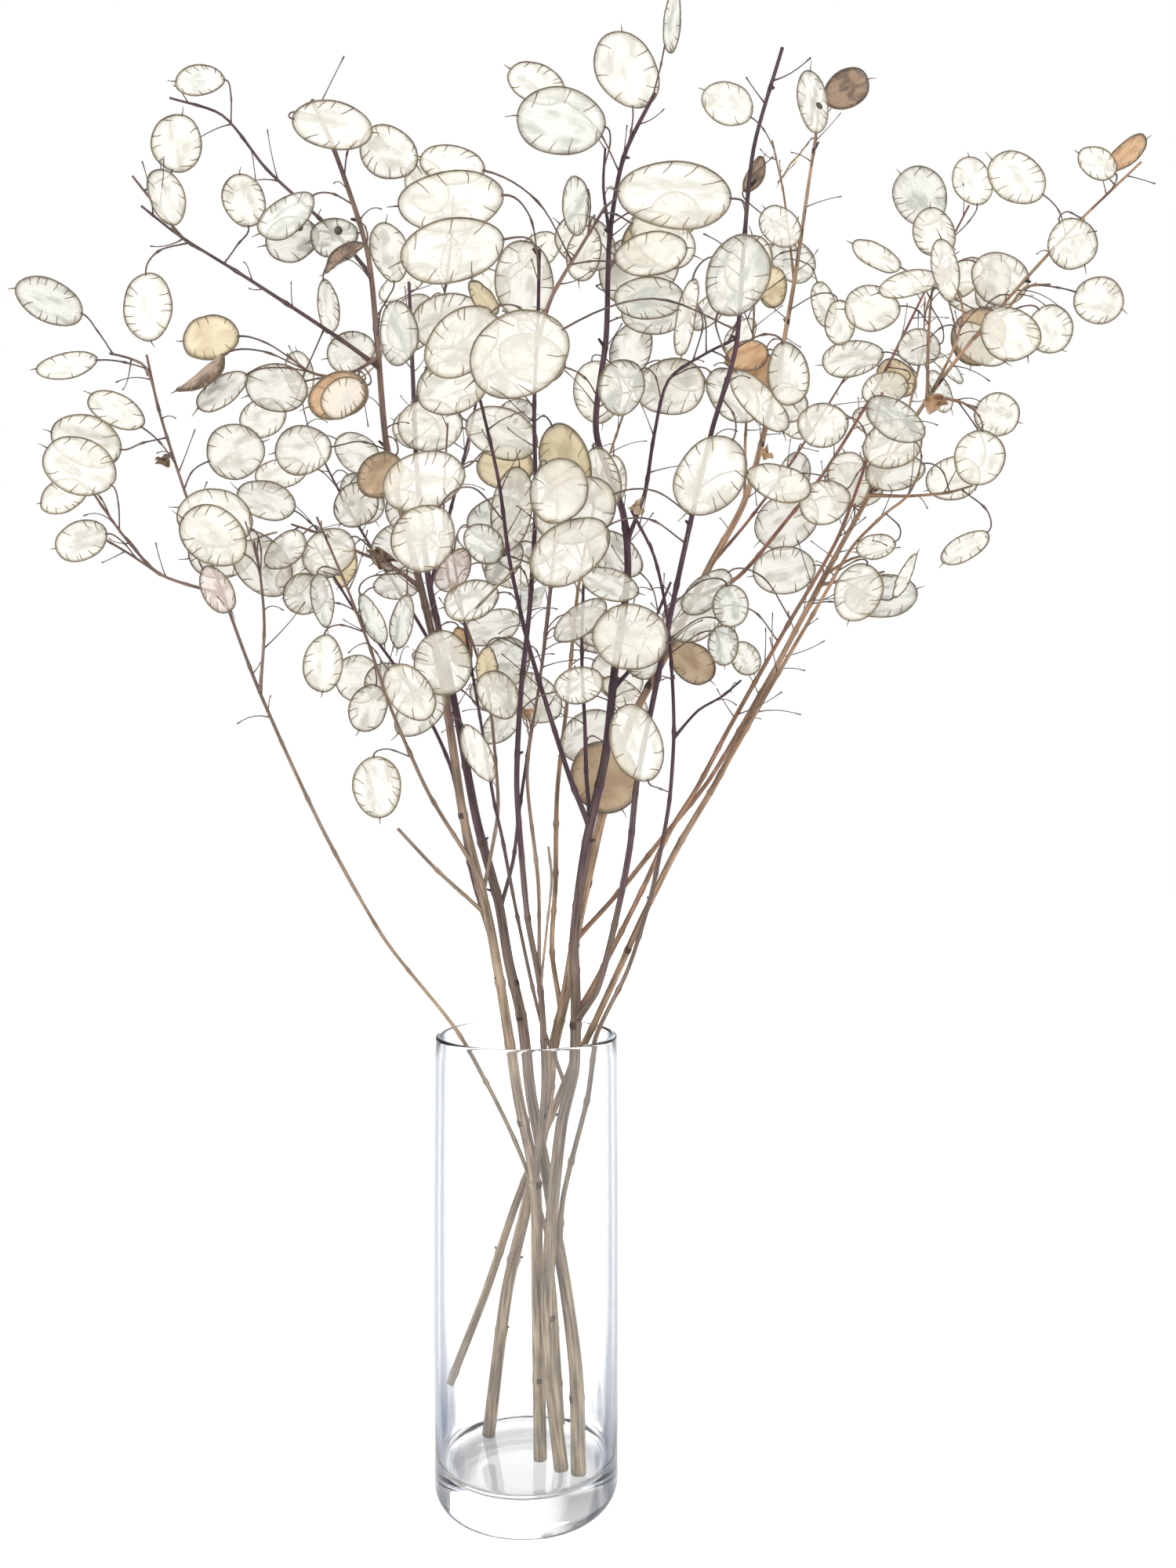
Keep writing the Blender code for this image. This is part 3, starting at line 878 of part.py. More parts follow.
def build_vase(collection):
    """The vase as one turned wall and floor."""
    mesh = bpy.data.meshes.new("vase")
    shell = bmesh.new()
    corners = [shell.verts.new((radius, 0, height)) for radius, height in vase_profile()]
    for start, end in zip(corners, corners[1:]):
        shell.edges.new((start, end))
    shell.to_mesh(mesh)
    shell.free()
    vase = bpy.data.objects.new("vase", mesh)
    collection.objects.link(vase)
    turn = vase.modifiers.new("turned", "SCREW")
    turn.steps = VASE_STEPS
    turn.render_steps = VASE_STEPS
    turn.use_merge_vertices = True
    turn.merge_threshold = WELD
    mesh.materials.append(finish_of("vase_glass", (0.96, 0.98, 0.98), 0.02, 1.0))
    return vase


def tube_object(name, route, level, collection):
    """A stem or branch as a welded mesh, made from a bevelled curve."""
    curve = bpy.data.curves.new(name, "CURVE")
    curve.dimensions = "3D"
    curve.bevel_depth = 1.0
    curve.bevel_resolution = level
    curve.use_fill_caps = True
    spline = curve.splines.new("POLY")
    spline.points.add(len(route.points) - 1)
    for spot, point, radius in zip(spline.points, route.points, route.radii):
        spot.co = (*point, 1)
        spot.radius = radius
    guide = bpy.data.objects.new(name + "_path", curve)
    collection.objects.link(guide)
    graph = bpy.context.evaluated_depsgraph_get()
    mesh = bpy.data.meshes.new_from_object(guide.evaluated_get(graph))
    tube = bpy.data.objects.new(name, mesh)
    tube.matrix_world = guide.matrix_world
    collection.objects.link(tube)
    bpy.data.objects.remove(guide)
    weld = bmesh.new()
    weld.from_mesh(mesh)
    bmesh.ops.remove_doubles(weld, verts=weld.verts, dist=WELD)
    bmesh.ops.recalc_face_normals(weld, faces=weld.faces)
    weld.to_mesh(mesh)
    weld.free()
    return tube


def pod_object(name, pod, collection):
    """A pod's plate and stalk as one closed mesh."""
    corners, faces = pod_faces(pod)
    mesh = bpy.data.meshes.new(name)
    mesh.from_pydata([tuple(c) for c in corners], [], faces)
    form = bmesh.new()
    form.from_mesh(mesh)
    bmesh.ops.recalc_face_normals(form, faces=form.faces)
    form.to_mesh(mesh)
    form.free()
    thing = bpy.data.objects.new(name, mesh)
    collection.objects.link(thing)
    return thing


def build_stem(stem, routes, pods, collection, material):
    """One stem with all that grows on it, joined in one body."""
    growth = bpy.data.collections.new(stem + "_growth")
    bpy.context.scene.collection.children.link(growth)
    trunk = None
    for (owner, name), route in routes.items():
        if owner != stem:
            continue
        if route.parent is None:
            trunk = tube_object(stem, route, STEM_SIDES_LEVEL, collection)
        else:
            tube_object(name, route, TWIG_SIDES_LEVEL, growth)
    for number, pod in enumerate(pods):
        if pod.stem == stem:
            pod_object(f"pod_{number}", pod, growth)
    join = trunk.modifiers.new("joined", "BOOLEAN")
    join.operation = "UNION"
    join.operand_type = "COLLECTION"
    join.collection = growth
    join.solver = "MANIFOLD"
    graph = bpy.context.evaluated_depsgraph_get()
    whole = bpy.data.meshes.new_from_object(trunk.evaluated_get(graph))
    trunk.modifiers.remove(join)
    trunk.data = whole
    for thing in list(growth.objects):
        bpy.data.objects.remove(thing)
    bpy.data.collections.remove(growth)
    whole.materials.clear()
    whole.materials.append(material)
    whole.shade_smooth()
    whole.set_sharp_from_angle(angle=math.radians(40))
    return trunk


def main():
    """Builds the vase and the stems."""
    for thing in list(bpy.data.objects):
        bpy.data.objects.remove(thing)
    collection = bpy.data.collections.new("honesty_stems_in_vase")
    bpy.context.scene.collection.children.link(collection)
    build_vase(collection)
    routes = route_stems()
    pods = hang_pods(routes)
    wood = finish_of("dried_stem", (0.32, 0.22, 0.17), 0.7)
    for stem in STEMS:
        build_stem(stem, routes, pods, collection, wood)


main()
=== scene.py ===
"""Looks of dried honesty stems with silver seed pods in a clear glass vase.

The stems' routes and the pods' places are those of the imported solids. Each stem is dressed with
finer wood, stalks, rims and papery tissue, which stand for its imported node.
"""

from __future__ import annotations

import itertools
import json
import logging
import math
import random
from collections.abc import Iterable, Iterator, Sequence
from dataclasses import dataclass, field
from enum import Enum
from typing import NamedTuple

import bpy
import numpy as np
from bpy.types import Material, Node, NodeSocket, NodeTree, Object
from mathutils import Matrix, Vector
from mathutils.bvhtree import BVHTree

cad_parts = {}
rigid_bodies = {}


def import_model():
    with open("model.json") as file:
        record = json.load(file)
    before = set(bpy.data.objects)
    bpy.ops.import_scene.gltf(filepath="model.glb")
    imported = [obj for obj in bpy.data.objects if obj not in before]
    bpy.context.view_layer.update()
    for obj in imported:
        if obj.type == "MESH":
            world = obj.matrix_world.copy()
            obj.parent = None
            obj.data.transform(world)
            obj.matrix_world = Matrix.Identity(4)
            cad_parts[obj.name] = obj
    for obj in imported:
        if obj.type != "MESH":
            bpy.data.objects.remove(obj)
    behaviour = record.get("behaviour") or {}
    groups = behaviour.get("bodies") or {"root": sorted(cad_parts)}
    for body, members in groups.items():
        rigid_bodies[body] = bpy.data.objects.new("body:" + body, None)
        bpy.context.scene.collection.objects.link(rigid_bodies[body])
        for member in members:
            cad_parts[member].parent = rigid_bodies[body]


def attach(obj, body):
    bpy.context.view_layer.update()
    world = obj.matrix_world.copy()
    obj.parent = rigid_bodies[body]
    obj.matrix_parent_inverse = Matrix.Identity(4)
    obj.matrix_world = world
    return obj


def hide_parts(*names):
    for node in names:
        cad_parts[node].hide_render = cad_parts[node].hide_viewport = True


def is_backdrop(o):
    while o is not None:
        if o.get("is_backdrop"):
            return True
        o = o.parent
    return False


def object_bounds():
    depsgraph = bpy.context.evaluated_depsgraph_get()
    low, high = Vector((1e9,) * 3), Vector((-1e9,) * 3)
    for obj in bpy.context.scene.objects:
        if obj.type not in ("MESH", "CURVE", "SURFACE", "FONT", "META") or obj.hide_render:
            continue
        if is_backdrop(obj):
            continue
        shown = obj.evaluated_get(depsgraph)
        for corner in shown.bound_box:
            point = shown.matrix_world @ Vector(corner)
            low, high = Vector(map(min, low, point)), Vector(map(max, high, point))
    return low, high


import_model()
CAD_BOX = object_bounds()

LOG = logging.getLogger("honesty_stems")
Colour = tuple[float, float, float]
Shape = tuple[list[Vector], list[tuple]]
Routes = dict[tuple[str, str], "Route"]
Array = np.ndarray
Wear = int | Array
Input = float | tuple | NodeSocket

# The vase, a standard cylinder of 120 by 300 mm.
VASE_HEIGHT = 0.300
VASE_RADIUS = 0.060
RIM_RADIUS = 0.0590
BULGE = 0.0009
WALL = 0.0038
FLOOR_HEIGHT = 0.026
HEEL_ROUND = 0.013
HEEL_INSET = 0.0005
INNER_CORNER = 0.008
FLOOR_RISE = 0.0012
FOOT_HOLLOW = 0.0006

# Gaps and limits of the stems. A foot above the wedging height is held by the wall alone.
SEAT_GAP = 0.0003
STEM_GAP = 0.0006
RIM_MARGIN = 0.0008
RIM_ZONE = 0.0064
WEDGED_ABOVE = 0.050
EASE_ROUNDS = 160
EASE_SHARE = 0.6

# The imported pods: a thin oval plate on a thin bent stalk.
POD_THICKNESS = 0.0007
STALK_WIDTH = 0.0011
STALK_THICKNESS = 0.0009
POD_CORNERS = 10
BEAK_LENGTH = 0.0016
POD_LENGTH_MEAN = 0.038
POD_LENGTH_SPREAD = 0.0045
POD_LENGTH_LIMITS = (0.029, 0.047)
POD_GAP = 0.0006
WIDEST_SHARE = 0.92
STALK_REACH = 0.026
SHORTEST_STALK = 0.009
LEAST_RUN_IN = 0.25
TIGHTEST_BEND = -0.2
ROOT_STEP = 0.008
ROOTS_TRIED = 6

# How far a listed pod may give way, in metres along the sight line and in degrees.
SLIDES = (0, -0.006, 0.006, -0.012, 0.012, -0.018, 0.018, -0.026, 0.026, -0.034, 0.034)
SWINGS = (0, 14, -14)
TWISTS = (0, 16, -16)

# The rule for the other pods, which follow each other round their branch.
SEED_OF_PODS = 1187
TRIES = 30
STALK_LIMITS = (0.018, 0.032)
TURN_OF_NEXT = 2.4
BEARING_SHARE = 0.62
TIP_INSET = 0.0025
LOWEST_POD = 0.505

# The finer forms of the dressed pieces.
SEED_OF_SMALL_PODS = 53
SEED_OF_PLATES = 900
SEED_OF_WOOD = 7
UV_LENGTH = 0.03
LINE_STEP = 0.006
LINE_PULL = 0.8
THICK_STEM = 0.0021
THICK_SIDES, THIN_SIDES = 16, 8
NODE_STATIONS = (-0.004, -0.002, 0, 0.002, 0.004)
NODE_WIDTH = 0.0022
END_MARGIN = 0.002
SCAR_DROP, SCAR_HALF = 0.001, 0.0021
NODE_SPACINGS = {True: (0.034, 0.07), False: (0.02, 0.05)}
NODE_SWELLS = {True: (0.1, 0.24), False: (0.15, 0.45)}
ROOT_FLARE, ROOT_FLARE_LENGTH = 0.5, 0.006
RIDGE_TURN = 9.0
THIN_RIDGES = 0.6
PLAIN_NODES = 0.15
NODES_WITHOUT_SPUR = 0.35
SPUR_RADII = (0.0011, 0.0009, 0.0007)
PLATE_CORNERS = 32
PLATE_RINGS = 5
RIM_CORNERS = 48
TISSUE_HALF = 0.00012
RIM_RADIUS_OF_POD = 0.00036
PLAIN_FOLD, BROWN_FOLD = 0.0008, 0.0055
BEAK_LIMITS = (0.004, 0.0075)
SPIKE_RADII = (0.00055, 0.0004, 0.00026, 0.0002)
THREAD_RADII = (0.00036, 0.00031, 0.00022)
# Painted shade of the glass: the facing range over which its wall is painted dark where seen edge
# on.
EDGE_SHADE_RANGE = (0.50, 0.80)
# How much the painted shade of the streaks near the foot of the glass adds to its edge-on
# darkening.
LOW_STREAK_SHADE = 0.26
STALK_RADIUS = 0.00046
STALK_STEPS = 6
STALK_SINK = 0.0008
SEED_SIZE = (0.0031, 0.0026, 0.0007)
SEED_RINGS = 7
SEED_SIDES = 10
BARE_STALK_EVERY = 0.022
BARE_STALK_LIMITS = (0.009, 0.026)
BARE_STALK_RADII = (0.0006, 0.0004, 0.00034, 0.0003, 0.0003, 0.00028, 0.0005)
LOWEST_BARE_STALK = 0.50
CRUMB_REACH = 0.010
CRUMB_GRID = (14, 10)
CRUMB_THICKNESS = 0.00025
BARK_RELIEF = 0.0005
TISSUE_RELIEF = 0.0002
GLASS_RELIEF = 0.0003

# The photo's view: a level camera in front of the vase, and the soft light.
SEEN_FROM = Vector((0.040, -0.745, 0.430))
FRAME_HEIGHT = 2000
FOCAL_PIXELS = 1459
HORIZON_PIXEL = 1063
SURROUND = (0.22, 1.0)
FLOOR_GLOW = (0.05, 1.0)
KEY_POWER = 50
FILL_POWER = 26
BACK_POWER = 40


class Tone(Enum):
    """The colour that a pod has dried to."""

    SILVER = "silver"
    GREY = "grey"
    PINK = "pink"
    SEEDED = "seeded"
    YELLOW = "yellow"
    TAN = "tan"
    ORANGE = "orange"
    BROWN = "brown"


class Wood(Enum):
    """The kind of bark on a strand, or of a small woody part."""

    PURPLE = "purple"
    TAUPE = "taupe"
    TAN = "tan"
    RUST = "rust"
    TWIG = "twig"
    STALK = "stalk"
    SCAR = "scar"
    RIM = "rim"
    THREAD = "thread"


LEFT, TALL, PURPLE, CENTRE, TAN, RIGHT = (
    "stem_" + name for name in ("left", "tall_left", "purple", "centre", "tan", "right")
)
TONE_ORDER = list(Tone)
WOOD_ORDER = list(Wood)
RULE_TONES = {
    Tone.SILVER: 74,
    Tone.GREY: 19,
    Tone.YELLOW: 2,
    Tone.TAN: 1,
    Tone.SEEDED: 3,
    Tone.PINK: 1,
}
STEM_WOODS = {
    LEFT: Wood.TAUPE,
    TALL: Wood.TAUPE,
    PURPLE: Wood.PURPLE,
    CENTRE: Wood.PURPLE,
    TAN: Wood.TAN,
    RIGHT: Wood.TAN,
}
NODE_HEIGHTS = {
    TALL: (0.079, 0.204),
    TAN: (0.097, 0.145, 0.262),
    CENTRE: (0.122, 0.307),
    PURPLE: (0.072, 0.309),
    RIGHT: (0.076, 0.15),
}
STRAND_WOODS = {
    TALL: {
        "front_riser": Wood.PURPLE,
        "dark_arm": Wood.PURPLE,
        "long_reach": Wood.TWIG,
        "top_reach": Wood.TWIG,
    },
    CENTRE: {"tan_rod": Wood.RUST},
    TAN: {"lower_arm": Wood.RUST, "red_arm": Wood.RUST, "red_reach": Wood.RUST},
}


class Strand(NamedTuple):
    """A stem or branch: its name, what it grows from, end radii, pods by rule and path.

    The radii are in tenths of a millimetre and the path in millimetres.
    """

    name: str
    parent: str
    radii: tuple[int, int]
    pods: int
    path: tuple[tuple[int, int, int], ...]


class Placed(NamedTuple):
    """A listed pod: its stem, centre, length, seen width, angle, turn and colour."""

    stem: str
    centre: tuple[float, float, float]
    length: float
    width: float
    angle: float
    turn: float
    tone: Tone = Tone.SILVER


class Pod(NamedTuple):
    """A pod ready to be built: the stalk's points, then the plate's frame and size."""

    stem: str
    stalk: tuple[Vector, ...]
    axis: Vector
    normal: Vector
    length: float
    width: float
    tone: Tone = Tone.SILVER


class Crumb(NamedTuple):
    """A withered scrap of leaf: its stem, place, size and colour."""

    stem: str
    centre: tuple[float, float, float]
    size: float
    tone: Tone


def metres(place: tuple[int, int, int]) -> tuple[float, ...]:
    """A place given in millimetres, in metres."""
    return tuple(number / 1000 for number in place)


STEMS = {
    LEFT: (
        Strand("main", "", (17, 8), 1, (
          (27, 45, 28), (14, 22, 153), (-4, -8, 228), (-41, -38, 304), (-84, -46, 365),
          (-122, -50, 434), (-159, -54, 517), (-182, -56, 580), (-200, -58, 629),
          (-216, -62, 682), (-222, -66, 714),)),
        Strand("low_arm", "main", (10, 7), 0, (
          (-188, -56, 571), (-216, -60, 585), (-234, -64, 604), (-246, -70, 622),
          (-253, -74, 634),)),
        Strand("low_twig", "low_arm", (8, 7), 0, (
          (-216, -60, 585), (-239, -50, 600), (-254, -46, 609),)),
        Strand("riser", "main", (10, 7), 1, (
          (-158, -54, 515), (-151, -70, 552), (-151, -78, 580), (-153, -84, 599),)),
        Strand("tip_arm", "main", (8, 7), 1, (
          (-216, -62, 682), (-222, -66, 706), (-236, -60, 715), (-248, -56, 719),)),
    ),
    TALL: (
        Strand("main", "", (43, 12), 2, (
          (9, -7, 26), (7, -6, 148), (5, -6, 206), (-5, -13, 261), (-13, -18, 318),
          (-23, -20, 376), (-38, -24, 438), (-45, -28, 486), (-50, -32, 522),
          (-64, -40, 586), (-82, -50, 663), (-86, -60, 722), (-90, -72, 773),
          (-107, -84, 826), (-118, -90, 850),)),
        Strand("stub", "main", (14, 10), 0, (
          (-25, -20, 377), (-54, -26, 406), (-79, -30, 433),)),
        Strand("outer_arm", "main", (14, 7), 1, (
          (-31, -22, 406), (-58, -34, 453), (-72, -42, 485), (-81, -46, 508),
          (-93, -52, 545), (-106, -56, 580), (-122, -62, 619),)),
        Strand("dark_arm", "main", (16, 7), 2, (
          (-20, -19, 353), (-36, -2, 406), (-49, 6, 470), (-65, 10, 506), (-88, 16, 541),
          (-118, 22, 582), (-146, 30, 628),)),
        Strand("inner_riser", "main", (12, 7), 2, (
          (-24, -21, 392), (-18, -10, 442), (-19, -6, 467), (-26, 4, 525), (-43, 12, 574),
          (-54, 16, 604), (-57, 24, 653), (-55, 30, 708),)),
        Strand("front_riser", "main", (23, 9), 1, (
          (6, -6, 209), (12, -20, 263), (12, -28, 304), (10, -34, 336), (3, -40, 376),
          (0, -46, 410), (-3, -54, 460), (0, -64, 513), (6, -76, 563), (10, -90, 617),
          (10, -106, 668), (13, -124, 714), (14, -136, 741),)),
        Strand("mid_riser", "front_riser", (13, 7), 2, (
          (10, -34, 339), (9, -28, 397), (2, -30, 468), (10, -34, 524), (16, -40, 576),
          (22, -48, 627),)),
        Strand("short_riser", "front_riser", (10, 7), 0, (
          (11, -34, 333), (15, -46, 374), (18, -52, 403), (16, -54, 422),)),
        Strand("high_link", "front_riser", (12, 8), 1, (
          (12, -116, 699), (20, -112, 727), (35, -104, 757), (50, -98, 785),)),
        Strand("withered_arm", "main", (14, 7), 1, (
          (-63, -40, 581), (-82, -34, 596), (-103, -28, 606), (-126, -22, 618),
          (-149, -16, 627),)),
        Strand("long_reach", "main", (14, 7), 0, (
          (-85, -57, 710), (-105, -62, 723), (-129, -66, 738), (-168, -70, 762),
          (-201, -72, 782), (-222, -74, 798),)),
        Strand("reach_fork", "long_reach", (8, 7), 0, (
          (-199, -72, 781), (-212, -78, 796), (-224, -82, 811),)),
        Strand("top_reach", "main", (12, 7), 0, (
          (-88, -69, 760), (-107, -60, 785), (-128, -54, 807), (-156, -48, 835),
          (-184, -44, 870), (-217, -42, 882),)),
        Strand("side_tuft", "main", (10, 7), 1, (
          (-86, -58, 716), (-97, -72, 702), (-110, -84, 694), (-120, -92, 694),
          (-131, -96, 702),)),
    ),
    PURPLE: (
        Strand("main", "", (46, 12), 2, (
          (38, -28, 26), (32, -16, 87), (26, -4, 132), (19, 3, 170), (14, 8, 204),
          (5, 12, 256), (-4, 15, 307), (-13, 18, 345), (-20, 22, 384), (-35, 28, 438),
          (-47, 34, 499), (-58, 42, 550), (-71, 52, 606), (-82, 70, 689), (-87, 84, 761),
          (-92, 98, 836),)),
        Strand("outer_rod", "main", (19, 9), 0, (
          (19, 1, 157), (24, -10, 197), (39, -26, 264), (51, -32, 302), (65, -34, 346),
          (79, -34, 391), (90, -36, 447), (93, -38, 489), (92, -40, 524), (88, -44, 566),
          (80, -50, 599), (66, -58, 624),)),
        Strand("rod_hook", "outer_rod", (9, 7), 0, (
          (93, -38, 489), (109, -30, 507), (124, -24, 516), (137, -20, 527),)),
        Strand("back_riser", "main", (13, 7), 3, (
          (-18, 21, 379), (-11, 36, 412), (-8, 50, 444), (-1, 68, 499), (8, 90, 563),
          (14, 112, 631), (17, 134, 703),)),
        Strand("left_back", "main", (14, 7), 4, (
          (-56, 41, 539), (-89, 72, 594), (-123, 100, 646), (-155, 128, 701),
          (-181, 154, 752),)),
        Strand("mid_back", "main", (14, 7), 4, (
          (-70, 50, 601), (-60, 88, 666), (-50, 128, 737), (-42, 164, 812), (-40, 196, 883),)),
        Strand("top_back", "main", (11, 7), 2, (
          (-86, 80, 737), (-74, 112, 802), (-68, 142, 870), (-67, 166, 938),)),
    ),
    CENTRE: (
        Strand("main", "", (46, 11), 1, (
          (23, -19, 26), (16, -17, 87), (14, -15, 136), (17, -13, 191), (23, -11, 245),
          (31, -9, 280), (32, -9, 322), (31, -10, 361), (35, -12, 397), (40, -14, 429),
          (51, -18, 479), (57, -22, 534), (65, -26, 592), (62, -30, 630), (45, -42, 677),
          (51, -54, 730), (53, -62, 787), (61, -70, 829), (79, -76, 863),)),
        Strand("thin_riser", "main", (14, 7), 1, (
          (20, -10, 265), (10, -20, 312), (-5, -32, 383), (-13, -38, 427), (-18, -40, 450),
          (-25, -44, 494), (-32, -50, 538), (-38, -56, 578), (-44, -66, 618),)),
        Strand("front_rod", "main", (22, 9), 1, (
          (34, -9, 309), (46, -16, 331), (59, -26, 383), (66, -34, 422), (70, -42, 462),
          (80, -56, 514), (88, -72, 556), (96, -90, 596), (108, -118, 651), (118, -142, 686),
          (119, -162, 723), (123, -172, 773), (136, -180, 818),)),
        Strand("tan_rod", "main", (19, 9), 0, (
          (34, -9, 312), (48, 2, 339), (76, 4, 394), (92, 2, 429), (111, -2, 460),
          (132, -8, 500), (165, -16, 559), (197, -22, 615), (214, -28, 662), (223, -34, 704),)),
        Strand("crossing_arm", "main", (17, 8), 1, (
          (39, -14, 435), (30, -26, 461), (17, -40, 501), (4, -56, 544), (-6, -74, 590),
          (-11, -92, 631), (-19, -108, 667), (-25, -116, 690),)),
        Strand("cut_riser", "main", (15, 10), 0, (
          (39, -14, 437), (39, -4, 467), (38, 2, 500), (36, 6, 545), (37, 8, 594),)),
        Strand("high_fork", "main", (13, 7), 1, (
          (67, -28, 613), (75, -40, 640), (80, -52, 671), (88, -64, 700), (109, -78, 710),
          (127, -88, 715),)),
        Strand("shoot", "main", (13, 8), 0, (
          (58, -21, 521), (68, -16, 536), (81, -8, 563), (94, 2, 594),)),
        Strand("crown_left", "main", (10, 7), 0, (
          (53, -62, 787), (49, -74, 809), (50, -84, 826),)),
    ),
    TAN: (
        Strand("main", "", (44, 10), 2, (
          (-27, 23, 26), (-15, 22, 121), (-3, 20, 180), (9, 14, 239), (17, 9, 289),
          (25, 7, 323), (32, 7, 364), (41, 8, 406), (53, 12, 457), (69, 18, 505),
          (94, 26, 553), (124, 36, 614), (148, 44, 659), (169, 56, 734), (186, 70, 817),
          (199, 82, 896), (210, 92, 964),)),
        Strand("pale_riser", "main", (18, 8), 3, (
          (20, 8, 313), (16, 18, 351), (18, 26, 396), (19, 34, 458), (25, 56, 519),
          (33, 88, 609), (47, 120, 687), (63, 142, 742), (81, 166, 800),)),
        Strand("lower_arm", "main", (18, 9), 0, (
          (33, 7, 359), (61, 20, 391), (92, 28, 429), (123, 34, 467), (161, 42, 531),
          (198, 48, 595), (226, 54, 648), (256, 62, 708),)),
        Strand("red_arm", "main", (12, 7), 2, (
          (124, 36, 613), (151, 62, 648), (184, 86, 694), (212, 106, 738), (235, 122, 776),)),
        Strand("red_reach", "main", (15, 7), 1, (
          (111, 32, 589), (143, 40, 606), (176, 50, 645), (207, 60, 685), (248, 76, 752),
          (292, 96, 837), (324, 108, 898),)),
        Strand("high_left", "main", (11, 7), 3, (
          (149, 44, 659), (154, 84, 716), (162, 118, 775), (170, 150, 849), (166, 176, 918),)),
        Strand("crown_fork", "main", (9, 7), 0, (
          (188, 71, 823), (184, 96, 899), (178, 112, 949),)),
    ),
    RIGHT: (
        Strand("main", "", (29, 8), 1, (
          (-49, 6, 69), (-29, 17, 123), (-7, 25, 181), (14, 27, 236), (26, 25, 265),
          (43, 21, 300), (60, 16, 338), (75, 12, 372), (99, 8, 421), (123, 4, 462),
          (157, -2, 528), (197, -4, 604), (243, -4, 685), (263, -4, 716), (295, -2, 757),
          (358, 4, 827), (405, 10, 873),)),
        Strand("edge_rod", "main", (16, 8), 1, (
          (120, 5, 456), (158, -14, 526), (189, -22, 580), (206, -28, 610), (225, -34, 629),
          (237, -38, 638), (244, -42, 652),)),
        Strand("low_spray", "main", (10, 7), 0, (
          (195, -4, 597), (206, -24, 603), (216, -36, 603),)),
        Strand("low_spike", "main", (10, 7), 0, (
          (192, -4, 590), (211, -14, 593), (228, -20, 596),)),
        Strand("side_rod", "main", (12, 7), 0, (
          (224, -4, 648), (245, -16, 645), (268, -24, 645), (281, -28, 648),)),
        Strand("upright_twig", "main", (12, 7), 1, (
          (261, -4, 711), (265, 12, 748), (269, 20, 783), (274, 26, 812),)),
        Strand("node_twig", "main", (10, 7), 1, (
          (263, -4, 716), (270, -22, 734), (274, -32, 754), (269, -36, 767),)),
        Strand("node_right", "main", (10, 7), 0, (
          (261, -4, 713), (275, -18, 705), (284, -26, 696),)),
        Strand("far_side", "main", (10, 7), 0, (
          (290, -2, 751), (306, -16, 762), (317, -20, 776), (333, -20, 778),)),
        Strand("far_back", "main", (10, 7), 2, (
          (243, -4, 684), (264, 44, 734), (284, 88, 786), (296, 124, 837),)),
    ),
}
